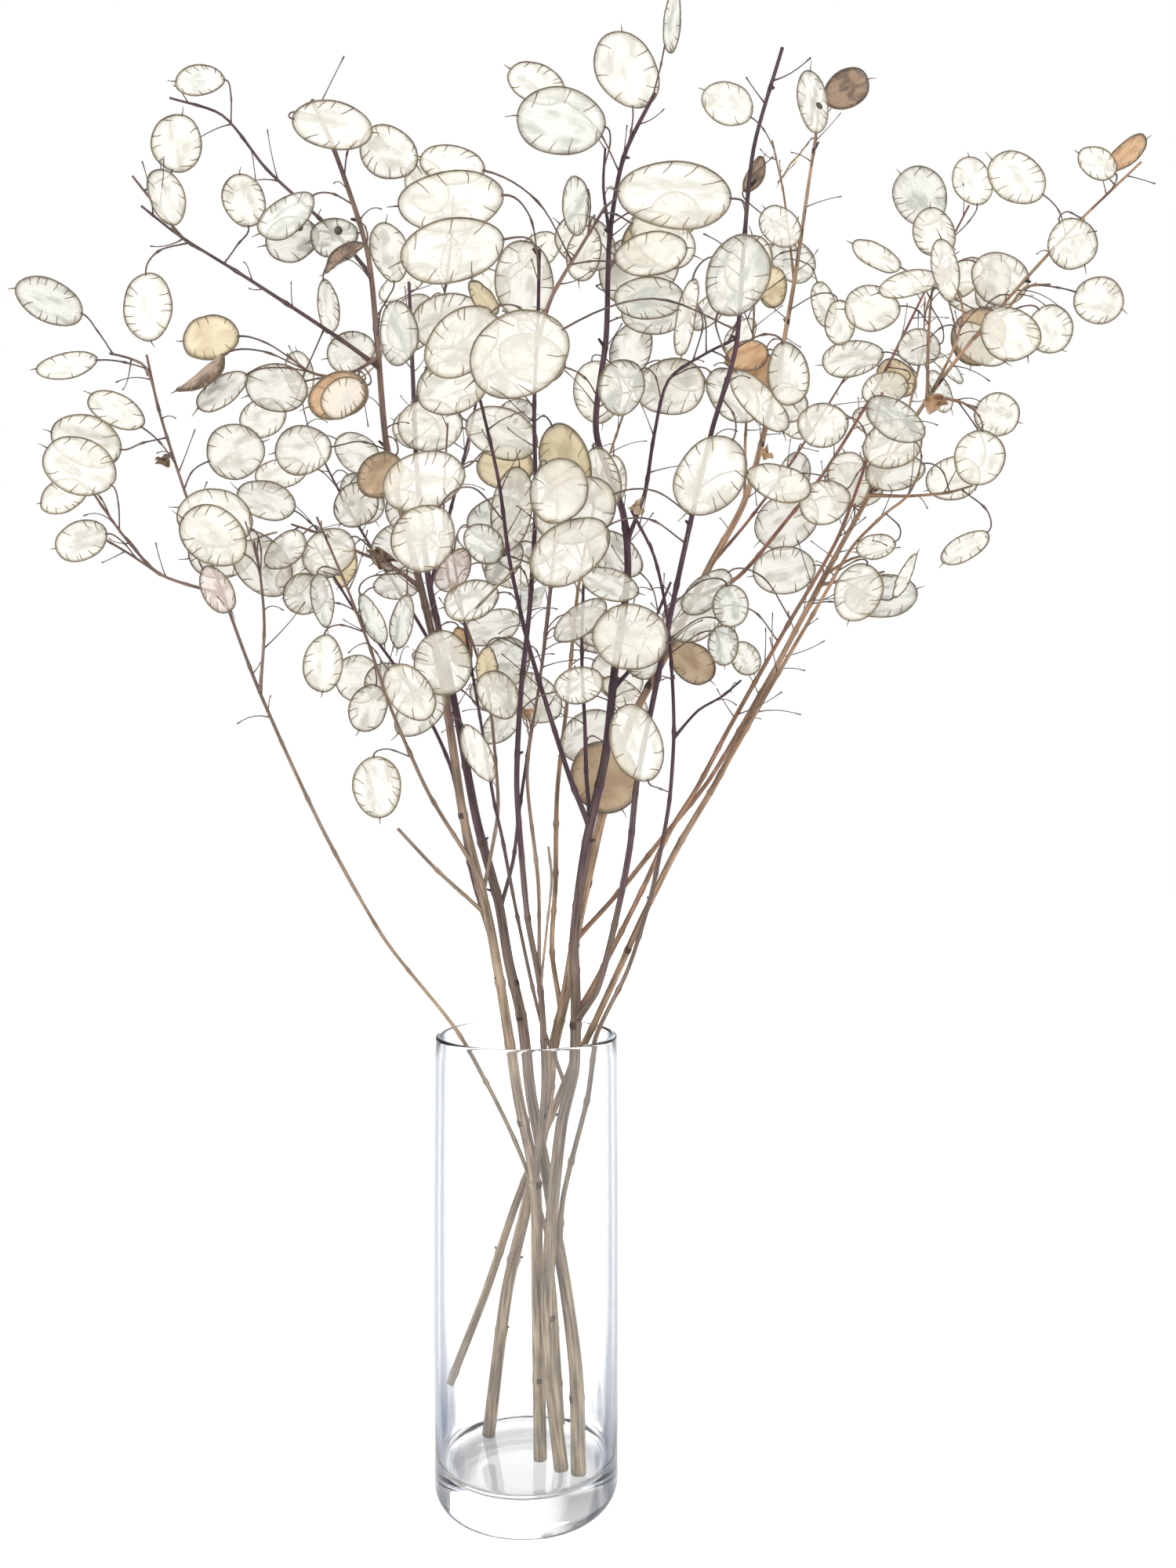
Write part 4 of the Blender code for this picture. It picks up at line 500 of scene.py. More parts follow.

# Pods listed one by one, with their places and sizes in millimetres.
PLACED_PODS = [
    Placed(stem, metres((x, y, z)), length / 1000, width / 1000, *rest)
    for stem, x, y, z, length, width, *rest in (
        (CENTRE, 63, -76, 877, 45, 43, 112, 6), (CENTRE, 25, -98, 833, 50, 40, 172, 4, Tone.GREY),
        (CENTRE, 10, -82, 864, 35, 28, 150, 20), (CENTRE, 82, -190, 740, 55, 34, 176, 4),
        (TALL, -29, -172, 747, 53, 33, 186, 8), (TALL, -26, -186, 715, 51, 29, 192, -8),
        (CENTRE, 114, -178, 706, 41, 30, 62, 12, Tone.GREY),
        (CENTRE, 75, -84, 739, 40, 27, 182, 10, Tone.GREY),
        (TALL, -26, -146, 687, 45, 33, 226, 10), (CENTRE, 4, -150, 679, 51, 42, 196, 4),
        (CENTRE, -48, -132, 619, 45, 34, 198, 12), (CENTRE, -46, -146, 585, 36, 34, -104, 6),
        (CENTRE, 33, -92, 614, 48, 35, 190, 10), (CENTRE, 30, -112, 586, 49, 31, 214, -8),
        (CENTRE, 106, -128, 623, 46, 36, 238, 10), (CENTRE, 64, -92, 542, 43, 36, 172, -12),
        (PURPLE, 69, -66, 484, 47, 31, 106, 24), (CENTRE, 51, 6, 467, 48, 44, -62, 10, Tone.TAN),
        (CENTRE, 41, 22, 495, 41, 35, 200, 20), (TALL, -88, -52, 458, 37, 30, -84, 10),
        (TALL, -117, -66, 531, 34, 25, -92, 20), (TALL, -66, -64, 514, 38, 26, -46, 24),
        (TALL, -26, -58, 478, 37, 16, -62, 50), (TALL, -48, -54, 533, 39, 37, -80, 8),
        (LEFT, -266, -74, 705, 36, 20, 188, 30), (LEFT, -234, -80, 676, 35, 20, 146, 30),
        (LEFT, -254, -84, 642, 43, 33, 150, 12), (LEFT, -258, -66, 663, 43, 28, 166, -16),
        (LEFT, -271, -66, 630, 29, 23, 196, 24), (LEFT, -267, -52, 607, 32, 27, 196, 16),
        (LEFT, -173, -92, 610, 43, 34, 164, 10), (LEFT, -169, -106, 596, 40, 31, 150, -8),
        (LEFT, -179, -70, 574, 30, 19, -56, 24, Tone.PINK),
        (TALL, -197, -46, 890, 30, 22, 196, 14, Tone.GREY), (TALL, -204, -66, 840, 34, 28, 80, 10),
        (TALL, -205, -80, 800, 33, 18, 100, 30), (TALL, -166, -60, 809, 32, 24, 100, 14),
        (TALL, -215, -82, 735, 39, 30, -86, 10),
        (TALL, -174, -96, 711, 32, 28, 184, 10, Tone.YELLOW),
        (TALL, -176, -108, 687, 33, 12, 216, 40, Tone.BROWN),
        (TALL, -166, -100, 679, 33, 19, 216, 18),
        (TALL, -136, -64, 784, 32, 31, 196, 8, Tone.SEEDED),
        (TALL, -111, -64, 785, 28, 26, 190, 10, Tone.SEEDED),
        (TALL, -100, -84, 762, 28, 11, 232, 40, Tone.BROWN),
        (TALL, -104, -100, 829, 45, 24, 4, 10), (TALL, -73, -96, 816, 34, 27, -24, 10),
        (TALL, -104, -86, 682, 35, 29, 200, 10, Tone.ORANGE),
        (TALL, -97, -104, 674, 27, 23, 220, 10), (TALL, -127, -74, 655, 33, 32, 186, 8),
        (TALL, -83, -64, 643, 30, 27, 234, 10, Tone.TAN), (TALL, -119, -44, 602, 34, 30, 214, 8),
        (RIGHT, 282, -38, 662, 34, 30, -96, 8), (RIGHT, 276, -30, 609, 33, 16, 214, 36),
        (RIGHT, 300, -18, 696, 28, 25, -20, 14), (RIGHT, 226, -46, 668, 37, 30, 206, 8),
        (RIGHT, 232, -30, 656, 37, 29, 196, 10), (RIGHT, 205, -46, 577, 36, 28, -108, 10),
        (RIGHT, 238, -30, 591, 30, 9, 76, 60), (RIGHT, 319, -2, 856, 40, 37, 146, 10),
        (TAN, 323, 96, 910, 36, 32, 100, 14), (RIGHT, 351, -10, 809, 32, 29, -46, 12),
        (RIGHT, 369, -6, 863, 27, 25, 150, 14), (RIGHT, 400, 20, 885, 33, 13, 34, 40, Tone.ORANGE),
        (RIGHT, 361, -26, 765, 31, 26, -20, 14), (RIGHT, 329, -30, 745, 29, 22, -60, 30),
        (RIGHT, 303, 26, 765, 39, 35, -104, 8, Tone.TAN), (RIGHT, 270, 14, 829, 33, 30, 100, 10),
        (RIGHT, 258, -46, 774, 38, 19, 98, 20), (RIGHT, 226, 4, 774, 36, 33, 184, 10),
        (CENTRE, 184, -44, 680, 31, 32, 196, 8), (CENTRE, 187, -34, 636, 32, 28, 210, 10),
        (TAN, 182, 70, 653, 48, 38, 216, 10), (TAN, 172, 26, 607, 42, 33, 190, 10),
        (CENTRE, 144, -150, 669, 33, 20, -80, 16),
        (TAN, 149, 40, 758, 30, 23, 196, 14, Tone.ORANGE),
        (TAN, 160, 56, 753, 27, 23, 240, 12, Tone.ORANGE), (TAN, 176, 66, 860, 33, 29, 130, 12),
        (TAN, 142, 92, 964, 39, 34, 150, 10), (TAN, 202, 78, 956, 45, 24, 96, 20, Tone.SEEDED),
        (TAN, 230, 98, 978, 36, 25, 26, 14, Tone.BROWN),
        (TAN, 160, 84, 908, 28, 11, 58, 40, Tone.BROWN),
        (CENTRE, 78, -44, 793, 37, 30, 30, 10, Tone.YELLOW),
        (TALL, -118, -50, 750, 33, 14, -80, 30), (TALL, -106, -40, 727, 30, 28, 196, 10),
        (TALL, -83, -56, 755, 28, 12, 176, 30, Tone.TAN), (TALL, -79, -58, 779, 36, 21, 98, 24),
        (TALL, -33, -130, 790, 35, 24, 168, 14), (TALL, 5, -112, 736, 43, 34, 80, 8),
        (TALL, -40, -96, 721, 41, 29, 214, 10),
        (TALL, -17, -118, 724, 23, 15, 120, 20, Tone.YELLOW),
        (CENTRE, 80, -70, 738, 41, 30, 190, 10), (CENTRE, 72, -30, 782, 51, 41, 20, 8),
        (CENTRE, 66, -56, 721, 33, 28, -80, 12), (CENTRE, 96, -100, 721, 42, 11, -84, 56),
        (TALL, 27, -84, 644, 46, 28, -70, 14, Tone.YELLOW), (TALL, -5, -66, 623, 50, 23, 66, 20),
        (CENTRE, 48, -60, 642, 39, 21, -76, 26), (PURPLE, -71, 60, 717, 46, 39, 190, 8),
        (CENTRE, -11, -70, 666, 44, 28, -20, 10), (TALL, -161, -30, 638, 37, 25, 160, 16),
        (LEFT, -176, -44, 664, 35, 32, 20, 10), (TALL, -166, -20, 693, 30, 28, 200, 12),
        (TALL, -147, -40, 605, 30, 26, 220, 12), (TALL, -104, -34, 634, 30, 28, 230, 10),
        (TALL, -122, -48, 572, 33, 15, -80, 30, Tone.GREY),
        (TALL, -90, -56, 559, 33, 15, -78, 24, Tone.GREY),
        (TALL, -73, -50, 559, 33, 15, -100, 30, Tone.GREY),
        (TALL, -97, -34, 508, 30, 24, -110, 12),
        (TALL, -38, -46, 544, 24, 12, -84, 30, Tone.ORANGE),
        (TALL, -20, -58, 530, 25, 13, -88, 20, Tone.YELLOW),
        (CENTRE, 115, -20, 583, 38, 21, 222, 20, Tone.GREY),
        (CENTRE, 108, -4, 570, 40, 31, 200, 10),
        (PURPLE, 128, -40, 570, 26, 21, -80, 16, Tone.GREY),
        (PURPLE, 124, -34, 547, 25, 18, -100, 20, Tone.GREY),
        (PURPLE, 139, -26, 540, 22, 17, -60, 14), (RIGHT, 212, 8, 663, 36, 29, 100, 10),
        (RIGHT, 216, -46, 605, 24, 16, 196, 20), (RIGHT, 279, 4, 662, 36, 29, 204, 12),
        (TAN, 215, 50, 785, 31, 19, -84, 20), (TAN, 207, 66, 805, 33, 14, -74, 30),
        (RIGHT, 264, 30, 759, 29, 27, 190, 10), (RIGHT, 243, -20, 778, 38, 20, 196, 24),
        (RIGHT, 314, 30, 802, 35, 23, 62, 20), (TAN, 249, 60, 743, 33, 25, 200, 14),
        (TAN, 173, 80, 824, 29, 20, -84, 18, Tone.YELLOW), (TAN, 47, 120, 764, 47, 36, -80, 12),
        (CENTRE, 39, -30, 799, 41, 30, 130, 14),
    )
]

# Pods that only the dressed stems have.
SMALL_PODS = {
    TALL: {"inner_riser": 4, "mid_riser": 4, "high_link": 3, "front_riser": 3, "dark_arm": 2},
    PURPLE: {"back_riser": 5, "mid_back": 5, "left_back": 3, "top_back": 4},
    CENTRE: {"main": 4, "thin_riser": 4, "high_fork": 3, "shoot": 2},
    TAN: {"pale_riser": 5, "high_left": 4, "red_arm": 3},
    RIGHT: {"far_back": 3, "upright_twig": 2},
}

CRUMBS = [
    Crumb(stem, metres((x, y, z)), size / 1000, tone)
    for stem, x, y, z, size, tone in (
        (TALL, -88, -36, 601, 17, Tone.BROWN),
        (RIGHT, 262, -8, 707, 16, Tone.ORANGE),
        (TALL, 1, -34, 505, 11, Tone.ORANGE),
        (TAN, 163, 40, 690, 11, Tone.ORANGE),
        (LEFT, -214, -60, 653, 10, Tone.BROWN),
        (CENTRE, 25, -40, 584, 22, Tone.GREY),
        (RIGHT, 278, 20, 804, 14, Tone.TAN),
        (CENTRE, 66, -60, 624, 12, Tone.TAN),
    )
]


def nearest_on(points: list[Vector], target: Vector) -> tuple[int, float]:
    """The index and share along a polyline of its place nearest to a target.

    Args:
        points: The polyline's corners.
        target: The place to come near to.

    Returns:
        The index of a span and the share along it.
    """
    best = (math.inf, 0, 0.0)
    for index, (start, end) in enumerate(zip(points, points[1:])):
        span = end - start
        share = max(0.0, min(1.0, (target - start).dot(span) / span.length_squared))
        gap = (start + span * share - target).length
        best = min(best, (gap, index, share))
    return best[1], best[2]


def vase_inner_radius(height: float) -> float:
    """The radius of the inside of the vase at a height, with its rounded inner corner.

    Args:
        height: The height above the foot.

    Returns:
        The radius.
    """
    wall = RIM_RADIUS - WALL
    rise = height - FLOOR_HEIGHT
    if rise >= INNER_CORNER:
        return wall
    drop = INNER_CORNER - max(rise, 0.0)
    return wall - INNER_CORNER + math.sqrt(INNER_CORNER**2 - drop**2)


class Route:
    """A strand's path as points with radii, hung on its parent's path."""

    def __init__(self, stem: str, strand: Strand, parent: Route | None) -> None:
        """Sets up the strand's path.

        Args:
            stem: The stem's name.
            strand: The strand, as its table gives it.
            parent: The route that it grows from, or None.
        """
        self.stem = stem
        self.name = strand.name
        self.parent = parent
        self.pods = strand.pods
        self.points = [Vector(metres(point)) for point in strand.path]
        first, last = (radius / 10000 for radius in strand.radii)
        count = len(self.points) - 1
        self.radii = [first + (last - first) * i / count for i in range(count + 1)]
        self.joint = nearest_on(parent.points, self.points[0]) if parent else None
        self.reattach()

    def reattach(self) -> None:
        """Puts the first point on the parent's path, or on the floor, if it isn't wedged."""
        if self.parent:
            index, share = self.joint
            start, end = self.parent.points[index : index + 2]
            self.points[0] = start.lerp(end, share)
            return
        foot = self.points[0]
        if foot.z > WEDGED_ABOVE:
            room = vase_inner_radius(foot.z) - self.radii[0] - SEAT_GAP
            share = room / math.hypot(foot.x, foot.y)
            foot.x *= share
            foot.y *= share
            return
        lean = (self.points[1] - self.points[0]).normalized()
        drop = self.radii[0] * math.sqrt(1 - lean.z**2)
        self.points[0].z = FLOOR_HEIGHT + SEAT_GAP + drop


def keep_in_vase(route: Route) -> None:
    """Moves the points inside the vase clear of its wall.

    Args:
        route: The strand to move.
    """
    for point, radius in zip(route.points, route.radii):
        if point.z > VASE_HEIGHT + RIM_ZONE:
            continue
        room = vase_inner_radius(point.z - radius) - radius - RIM_MARGIN
        reach = math.hypot(point.x, point.y)
        if reach > room:
            point.x *= room / reach
            point.y *= room / reach


def closest_shares(
    p: Array, u: Array, q: Array, v: Array
) -> tuple[Array, Array]:
    """The shares along segment pairs p + u s and q + v t at which they are closest.

    Args:
        p: Starts of the first segments.
        u: Their spans.
        q: Starts of the second segments.
        v: Their spans.

    Returns:
        The shares s and t.
    """
    w = p - q
    a = (u * u).sum(1)
    b = (u * v).sum(1)
    c = (v * v).sum(1)
    d = (u * w).sum(1)
    e = (v * w).sum(1)
    bottom = np.maximum(a * c - b * b, 1e-12)
    s = np.clip((b * e - c * d) / bottom, 0, 1)
    t = np.clip((b * s + e) / c, 0, 1)
    s = np.clip((b * t - d) / a, 0, 1)
    return s, t


def ease_apart(routes: list[Route]) -> None:
    """Pushes crossing strands apart, a little at a time, until they clear each other.

    Args:
        routes: The strands, which are changed.
    """
    segments = [(r, i) for r in range(len(routes)) for i in range(len(routes[r].points) - 1)]
    pairs = []
    for m, (r, i) in enumerate(segments):
        for n in range(m + 1, len(segments)):
            o, j = segments[n]
            one, other = routes[r], routes[o]
            if one is other or one.parent is other or other.parent is one:
                continue
            if one.stem == other.stem and (i == 0 or j == 0):
                continue
            pairs.append((m, n))
    pairs = np.array(pairs)
    owner = np.array([r for r, _ in segments])
    place = np.array([i for _, i in segments])
    for _ in range(EASE_ROUNDS):
        start = np.array([routes[r].points[i] for r, i in segments])
        end = np.array([routes[r].points[i + 1] for r, i in segments])
        thick = np.array([routes[r].radii[i] for r, i in segments])
        first, second = pairs.T
        s, t = closest_shares(
            start[first], (end - start)[first], start[second], (end - start)[second]
        )
        near = start[first] + (end - start)[first] * s[:, None]
        far = start[second] + (end - start)[second] * t[:, None]
        gap = np.linalg.norm(near - far, axis=1)
        need = thick[first] + thick[second] + STEM_GAP
        crowded = np.nonzero(gap < need)[0]
        if len(crowded) == 0:
            break
        for k in crowded:
            away = Vector(near[k] - far[k])
            away = away.normalized() if away.length > 1e-6 else Vector((0, 1, 0))
            push = away * float(need[k] - gap[k]) * EASE_SHARE
            for segment, share, way in ((first[k], s[k], 1), (second[k], t[k], -1)):
                points = routes[owner[segment]].points
                index = place[segment]
                points[index] += push * (way * float(1 - share))
                points[index + 1] += push * (way * float(share))
        for route in routes:
            keep_in_vase(route)
            route.reattach()


def route_stems() -> dict[tuple[str, str], Route]:
    """All strands as routes that clear each other, keyed by stem and strand name.

    Returns:
        The routes by stem and strand.
    """
    routes = {}
    for stem, strands in STEMS.items():
        for strand in strands:
            parent = routes[stem, strand.parent] if strand.parent else None
            routes[stem, strand.name] = Route(stem, strand, parent)
    ease_apart(list(routes.values()))
    return routes


def frame_of(tangent: Vector, hint: Vector) -> tuple[Vector, Vector]:
    """Two unit vectors square to a tangent, the first as near to the hint as it goes.

    Args:
        tangent: The unit tangent.
        hint: The wanted direction.

    Returns:
        The two vectors.
    """
    side = hint - tangent * hint.dot(tangent)
    if side.length < 1e-4:
        side = tangent.orthogonal()
    side.normalize()
    return side, tangent.cross(side)


def tube_faces(points: list[Vector], radii: list[float], sides: int) -> Shape:
    """Corners and faces of a closed tube along a polyline.

    Args:
        points: The polyline's corners.
        radii: The tube's radius at each.
        sides: The number of sides.

    Returns:
        The corners and the faces.
    """
    corners = []
    hint = Vector((1, 0, 0))
    for index, (point, radius) in enumerate(zip(points, radii)):
        tangent = points[min(index + 1, len(points) - 1)] - points[max(index - 1, 0)]
        hint, across = frame_of(tangent.normalized(), hint)
        for step in range(sides):
            angle = math.tau * step / sides
            corners.append(point + (hint * math.cos(angle) + across * math.sin(angle)) * radius)
    faces = [tuple(reversed(range(sides)))]
    for ring in range(len(points) - 1):
        for step in range(sides):
            a = ring * sides + step
            b = ring * sides + (step + 1) % sides
            faces.append((a, b, b + sides, a + sides))
    last = len(corners) - sides
    faces.append(tuple(range(last, len(corners))))
    return corners, faces


def pod_outline(length: float, width: float) -> list[tuple[float, float]]:
    """The plate's outline from one side of the stalk round to the other, as (along, across).

    Args:
        length: The plate's length.
        width: Its width.

    Returns:
        The outline's corners.
    """
    half_stalk = STALK_WIDTH / 2
    outline = [(0.0, -half_stalk)]
    for corner in range(1, POD_CORNERS):
        angle = math.tau * corner / POD_CORNERS
        along = length / 2 * (1 - math.cos(angle))
        across = -width / 2 * math.sin(angle)
        if corner * 2 == POD_CORNERS:
            along += BEAK_LENGTH
        outline.append((along, across))
    outline.append((0.0, half_stalk))
    return outline


def pod_faces(pod: Pod, grow: float = 0.0) -> Shape:
    """Corners and faces of a pod's plate with its stalk, grown on all sides by an amount.

    Args:
        pod: The pod.
        grow: How far its skin moves out.

    Returns:
        The corners and the faces.
    """
    across = pod.normal.cross(pod.axis)
    base = pod.stalk[-1]
    outline = pod_outline(pod.length + 2 * grow, pod.width + 2 * grow)
    half = POD_THICKNESS / 2 + grow
    count = len(outline)
    corners = []
    for side in (-half, half):
        for along, sideways in outline:
            edge = base + pod.axis * (along - grow) + across * sideways
            corners.append(edge + pod.normal * side)
    faces = [tuple(range(count)), tuple(reversed(range(count, 2 * count)))]
    for index in range(count - 1):
        faces.append((index + 1, index, index + count, index + count + 1))
    ring = (0, count - 1, 2 * count - 1, count)
    wide = STALK_WIDTH / 2 + grow
    thick = STALK_THICKNESS / 2 + grow
    root, middle, _ = pod.stalk
    run_in, run_out = (base - middle).normalized(), (middle - root).normalized()
    side, up, tangent = across, pod.normal, pod.axis
    for place, ahead in ((middle, (run_in + run_out).normalized()), (root, run_out)):
        bend = tangent.rotation_difference(ahead)
        side, up, tangent = bend @ side, bend @ up, ahead
        first = len(corners)
        for a, b in ((-1, -1), (1, -1), (1, 1), (-1, 1)):
            corners.append(place + side * (wide * a) + up * (thick * b))
        new = (first, first + 1, first + 2, first + 3)
        for k in range(4):
            m = (k + 1) % 4
            faces.append((ring[k], ring[m], new[m], new[k]))
        ring = new
    faces.append(ring)
    return corners, faces


class Crowd:
    """Everything placed so far, to test a new piece against."""

    def __init__(self) -> None:
        """Starts with nothing placed."""
        self.things = []

    def add(self, corners: list[Vector], faces: list[tuple], owner: object) -> None:
        """Adds a closed shape and the strand or pod that it stands for."""
        tree = BVHTree.FromPolygons(corners, faces)
        self.things.append((*box_of(corners), tree, owner))

    def touches(
        self, corners: list[Vector], faces: list[tuple], skip: object = None, only: object = None
    ) -> bool:
        """Whether a shape meets anything but one owner, or meets the only one named.

        Args:
            corners: The shape's corners.
            faces: Its faces.
            skip: An owner to leave out.
            only: The one owner to test, or None for all.

        Returns:
            Whether they meet.
        """
        low, high = box_of(corners)
        tree = BVHTree.FromPolygons(corners, faces)
        for other_low, other_high, other, owner in self.things:
            if owner is skip or (only and owner is not only):
                continue
            if any(low[k] > other_high[k] or high[k] < other_low[k] for k in range(3)):
                continue
            if tree.overlap(other):
                return True
        return False


def box_of(corners: list[Vector]) -> tuple[list[float], list[float]]:
    """The lowest and highest corner of the box round some points.

    Args:
        corners: The points.

    Returns:
        The two corners of the box.
    """
    low = [min(corner[k] for corner in corners) for k in range(3)]
    high = [max(corner[k] for corner in corners) for k in range(3)]
    return low, high


def stalk_curve(root: Vector, lead: Vector, base: Vector, axis: Vector) -> tuple[Vector, ...]:
    """The stalk's points, from its root on a branch to the pod's base.

    Args:
        root: Where the stalk leaves its branch.
        lead: The way it leaves.
        base: The pod's base.
        axis: The pod's axis.

    Returns:
        The root, the middle and the base.
    """
    reach = (base - root).length
    first = root + lead * reach * 0.42
    second = base - axis * reach * 0.36
    middle = (root + first * 3 + second * 3 + base) / 8
    return (root, middle, base)


def root_on(route: Route, index: int, share: float) -> tuple[Vector, Vector]:
    """The point at a share of one of a route's spans, and the span's direction."""
    start, end = route.points[index : index + 2]
    return start.lerp(end, share), (end - start).normalized()


def make_pod(
    route: Route, index: int, share: float, base: Vector, axis: Vector, normal: Vector, size: tuple
) -> Pod:
    """A pod on a stalk that leaves its branch at a place given by index and share.

    Args:
        route: The branch.
        index: The span that the stalk leaves.
        share: How far along the span.
        base: The plate's base.
        axis: Its long axis.
        normal: Its normal.
        size: Its length and width.

    Returns:
        The pod, in the plain colour.
    """
    root, growth = root_on(route, index, share)
    lead = (growth * 0.5 + (base - root).normalized() * 0.8).normalized()
    length, width = size
    return Pod(route.stem, stalk_curve(root, lead, base, axis), axis, normal, length, width)


def runs_smoothly(pod: Pod) -> bool:
    """Whether the stalk meets its pod from behind, with no bend as tight as a hairpin.

    Args:
        pod: The pod.

    Returns:
        Whether its stalk can be built.
    """
    root, middle, base = pod.stalk
    run_in, run_out = (base - middle).normalized(), (middle - root).normalized()
    return run_in.dot(pod.axis) > LEAST_RUN_IN and run_in.dot(run_out) > TIGHTEST_BEND


def fits(pod: Pod, route: Route, crowd: Crowd) -> bool:
    """Whether a pod is clear of all but its branch, which only its stalk may touch.

    Args:
        pod: The pod.
        route: Its branch.
        crowd: All that is placed.

    Returns:
        Whether there is room for it.
    """
    if not runs_smoothly(pod):
        return False
    corners, faces = pod_faces(pod, POD_GAP)
    if crowd.touches(corners, faces, skip=route):
        return False
    count = POD_CORNERS + 1
    return not crowd.touches(corners[: 2 * count], faces[:2], only=route)


def turned_normal(axis: Vector, turn: float) -> Vector:
    """The plate's normal, which faces the front and is then turned about the axis.

    Args:
        axis: The plate's axis.
        turn: The turn in degrees.

    Returns:
        The normal.
    """
    side, _ = frame_of(axis, Vector((0, -1, 0)))
    across = axis.cross(side)
    angle = math.radians(turn)
    return side * math.cos(angle) + across * math.sin(angle)


def roots_near(routes: Routes, stem: str, base: Vector) -> list[tuple]:
    """Places on a stem's strands to root a stalk at, the most natural first.

    Args:
        routes: All strands.
        stem: The stem's name.
        base: The pod's base.

    Returns:
        The cost, the strand, the span and the share of each place.
    """
    places = []
    for (owner, name), route in routes.items():
        if owner != stem:
            continue
        for index, (start, end) in enumerate(zip(route.points, route.points[1:])):
            steps = max(1, round((end - start).length / ROOT_STEP))
            for step in range(steps):
                root, growth = root_on(route, index, step / steps)
                reach = (base - root).length
                climb = (base - root).dot(growth)
                cost = abs(reach - STALK_REACH) + max(0.0, -climb) * 0.3
                if reach > SHORTEST_STALK:
                    places.append((cost, name, index, step / steps))
    places.sort()
    return places[:ROOTS_TRIED]


def poses_of(placed: Placed) -> Iterator[tuple[Vector, Vector, Vector]]:
    """The poses tried for a listed pod, as its base, axis and normal, the wanted one first.

    Args:
        placed: The pod.

    Yields:
        Each base, axis and normal.
    """
    for slide, swing, twist in itertools.product(SLIDES, SWINGS, TWISTS):
        centre = Vector(placed.centre)
        centre += (centre - SEEN_FROM).normalized() * slide
        angle = math.radians(placed.angle + swing)
        axis = Vector((math.cos(angle), 0, math.sin(angle)))
        yield centre - axis * placed.length / 2, axis, turned_normal(axis, placed.turn + twist)


def pod_by_eye(placed: Placed, routes: Routes, crowd: Crowd) -> Pod | None:
    """A listed pod, eased forwards or back until it is clear, or None.

    Args:
        placed: The pod, as its table gives it.
        routes: All strands.
        crowd: All that is placed.

    Returns:
        The pod, or None where there is no room.
    """
    width = placed.width / math.cos(math.radians(placed.turn))
    size = (placed.length, min(width, placed.length * WIDEST_SHARE))
    for base, axis, normal in poses_of(placed):
        for _, name, index, share in roots_near(routes, placed.stem, base):
            route = routes[placed.stem, name]
            pod = make_pod(route, index, share, base, axis, normal, size)
            if fits(pod, route, crowd):
                return pod
    return None


def pod_by_rule(
    route: Route, number: int, count: int, turn: float, slack: float, draw: random.Random
) -> Pod:
    """One of the pods along a branch, with its place, size and tilt drawn.

    Args:
        route: The branch.
        number: The pod's number on it.
        count: How many pods it bears.
        turn: The angle round the branch.
        slack: How far that angle may stray.
        draw: The source of chance.

    Returns:
        The pod, which may not fit.
    """
    bearing = BEARING_SHARE if route.parent else BEARING_SHARE**2
    along = 1 - (number + draw.uniform(0, 0.9)) / count * bearing
    spans = len(route.points) - 1
    last = (route.points[-1] - route.points[-2]).length
    at = min(along * spans, spans - TIP_INSET / last)
    index, share = int(at), at - int(at)
    root, growth = root_on(route, index, share)
    side, across = frame_of(growth, Vector((1, 0, 0)))
    spin = turn + draw.gauss(0, slack)
    out = side * math.cos(spin) + across * math.sin(spin)
    base = root + (out * 0.85 + growth * 0.5).normalized() * draw.uniform(*STALK_LIMITS)
    drop = draw.uniform(-1.1, 0.45)
    axis = Vector((out.x + growth.x * 0.3, out.y * 0.45, out.z * 0.5 + drop)).normalized()
    low, high = POD_LENGTH_LIMITS
    length = min(high, max(low, draw.gauss(POD_LENGTH_MEAN, POD_LENGTH_SPREAD)))
    size = (length, length * draw.uniform(0.62, 0.86))
    normal = turned_normal(axis, draw.gauss(0, 34))
    return make_pod(route, index, share, base, axis, normal, size)


def pods_along(route: Route, count: int, crowd: Crowd, draw: random.Random) -> list[Pod]:
    """The pods that the rule hangs on one branch, each turned on from the one before.

    Args:
        route: The branch.
        count: How many pods to try for.
        crowd: All that is placed, which grows.
        draw: The source of chance.

    Returns:
        The pods that found room.
    """
    pods = []
    turn = draw.uniform(0, math.tau)
    for number in range(count):
        turn += TURN_OF_NEXT
        for attempt in range(TRIES):
            slack = 0.35 + attempt * 0.1
            pod = pod_by_rule(route, number, count, turn, slack, draw)
            high_enough = (pod.stalk[-1] + pod.axis * pod.length / 2).z > LOWEST_POD
            if high_enough and fits(pod, route, crowd):
                pods.append(pod)
                crowd.add(*pod_faces(pod), pod)
                break
    return pods


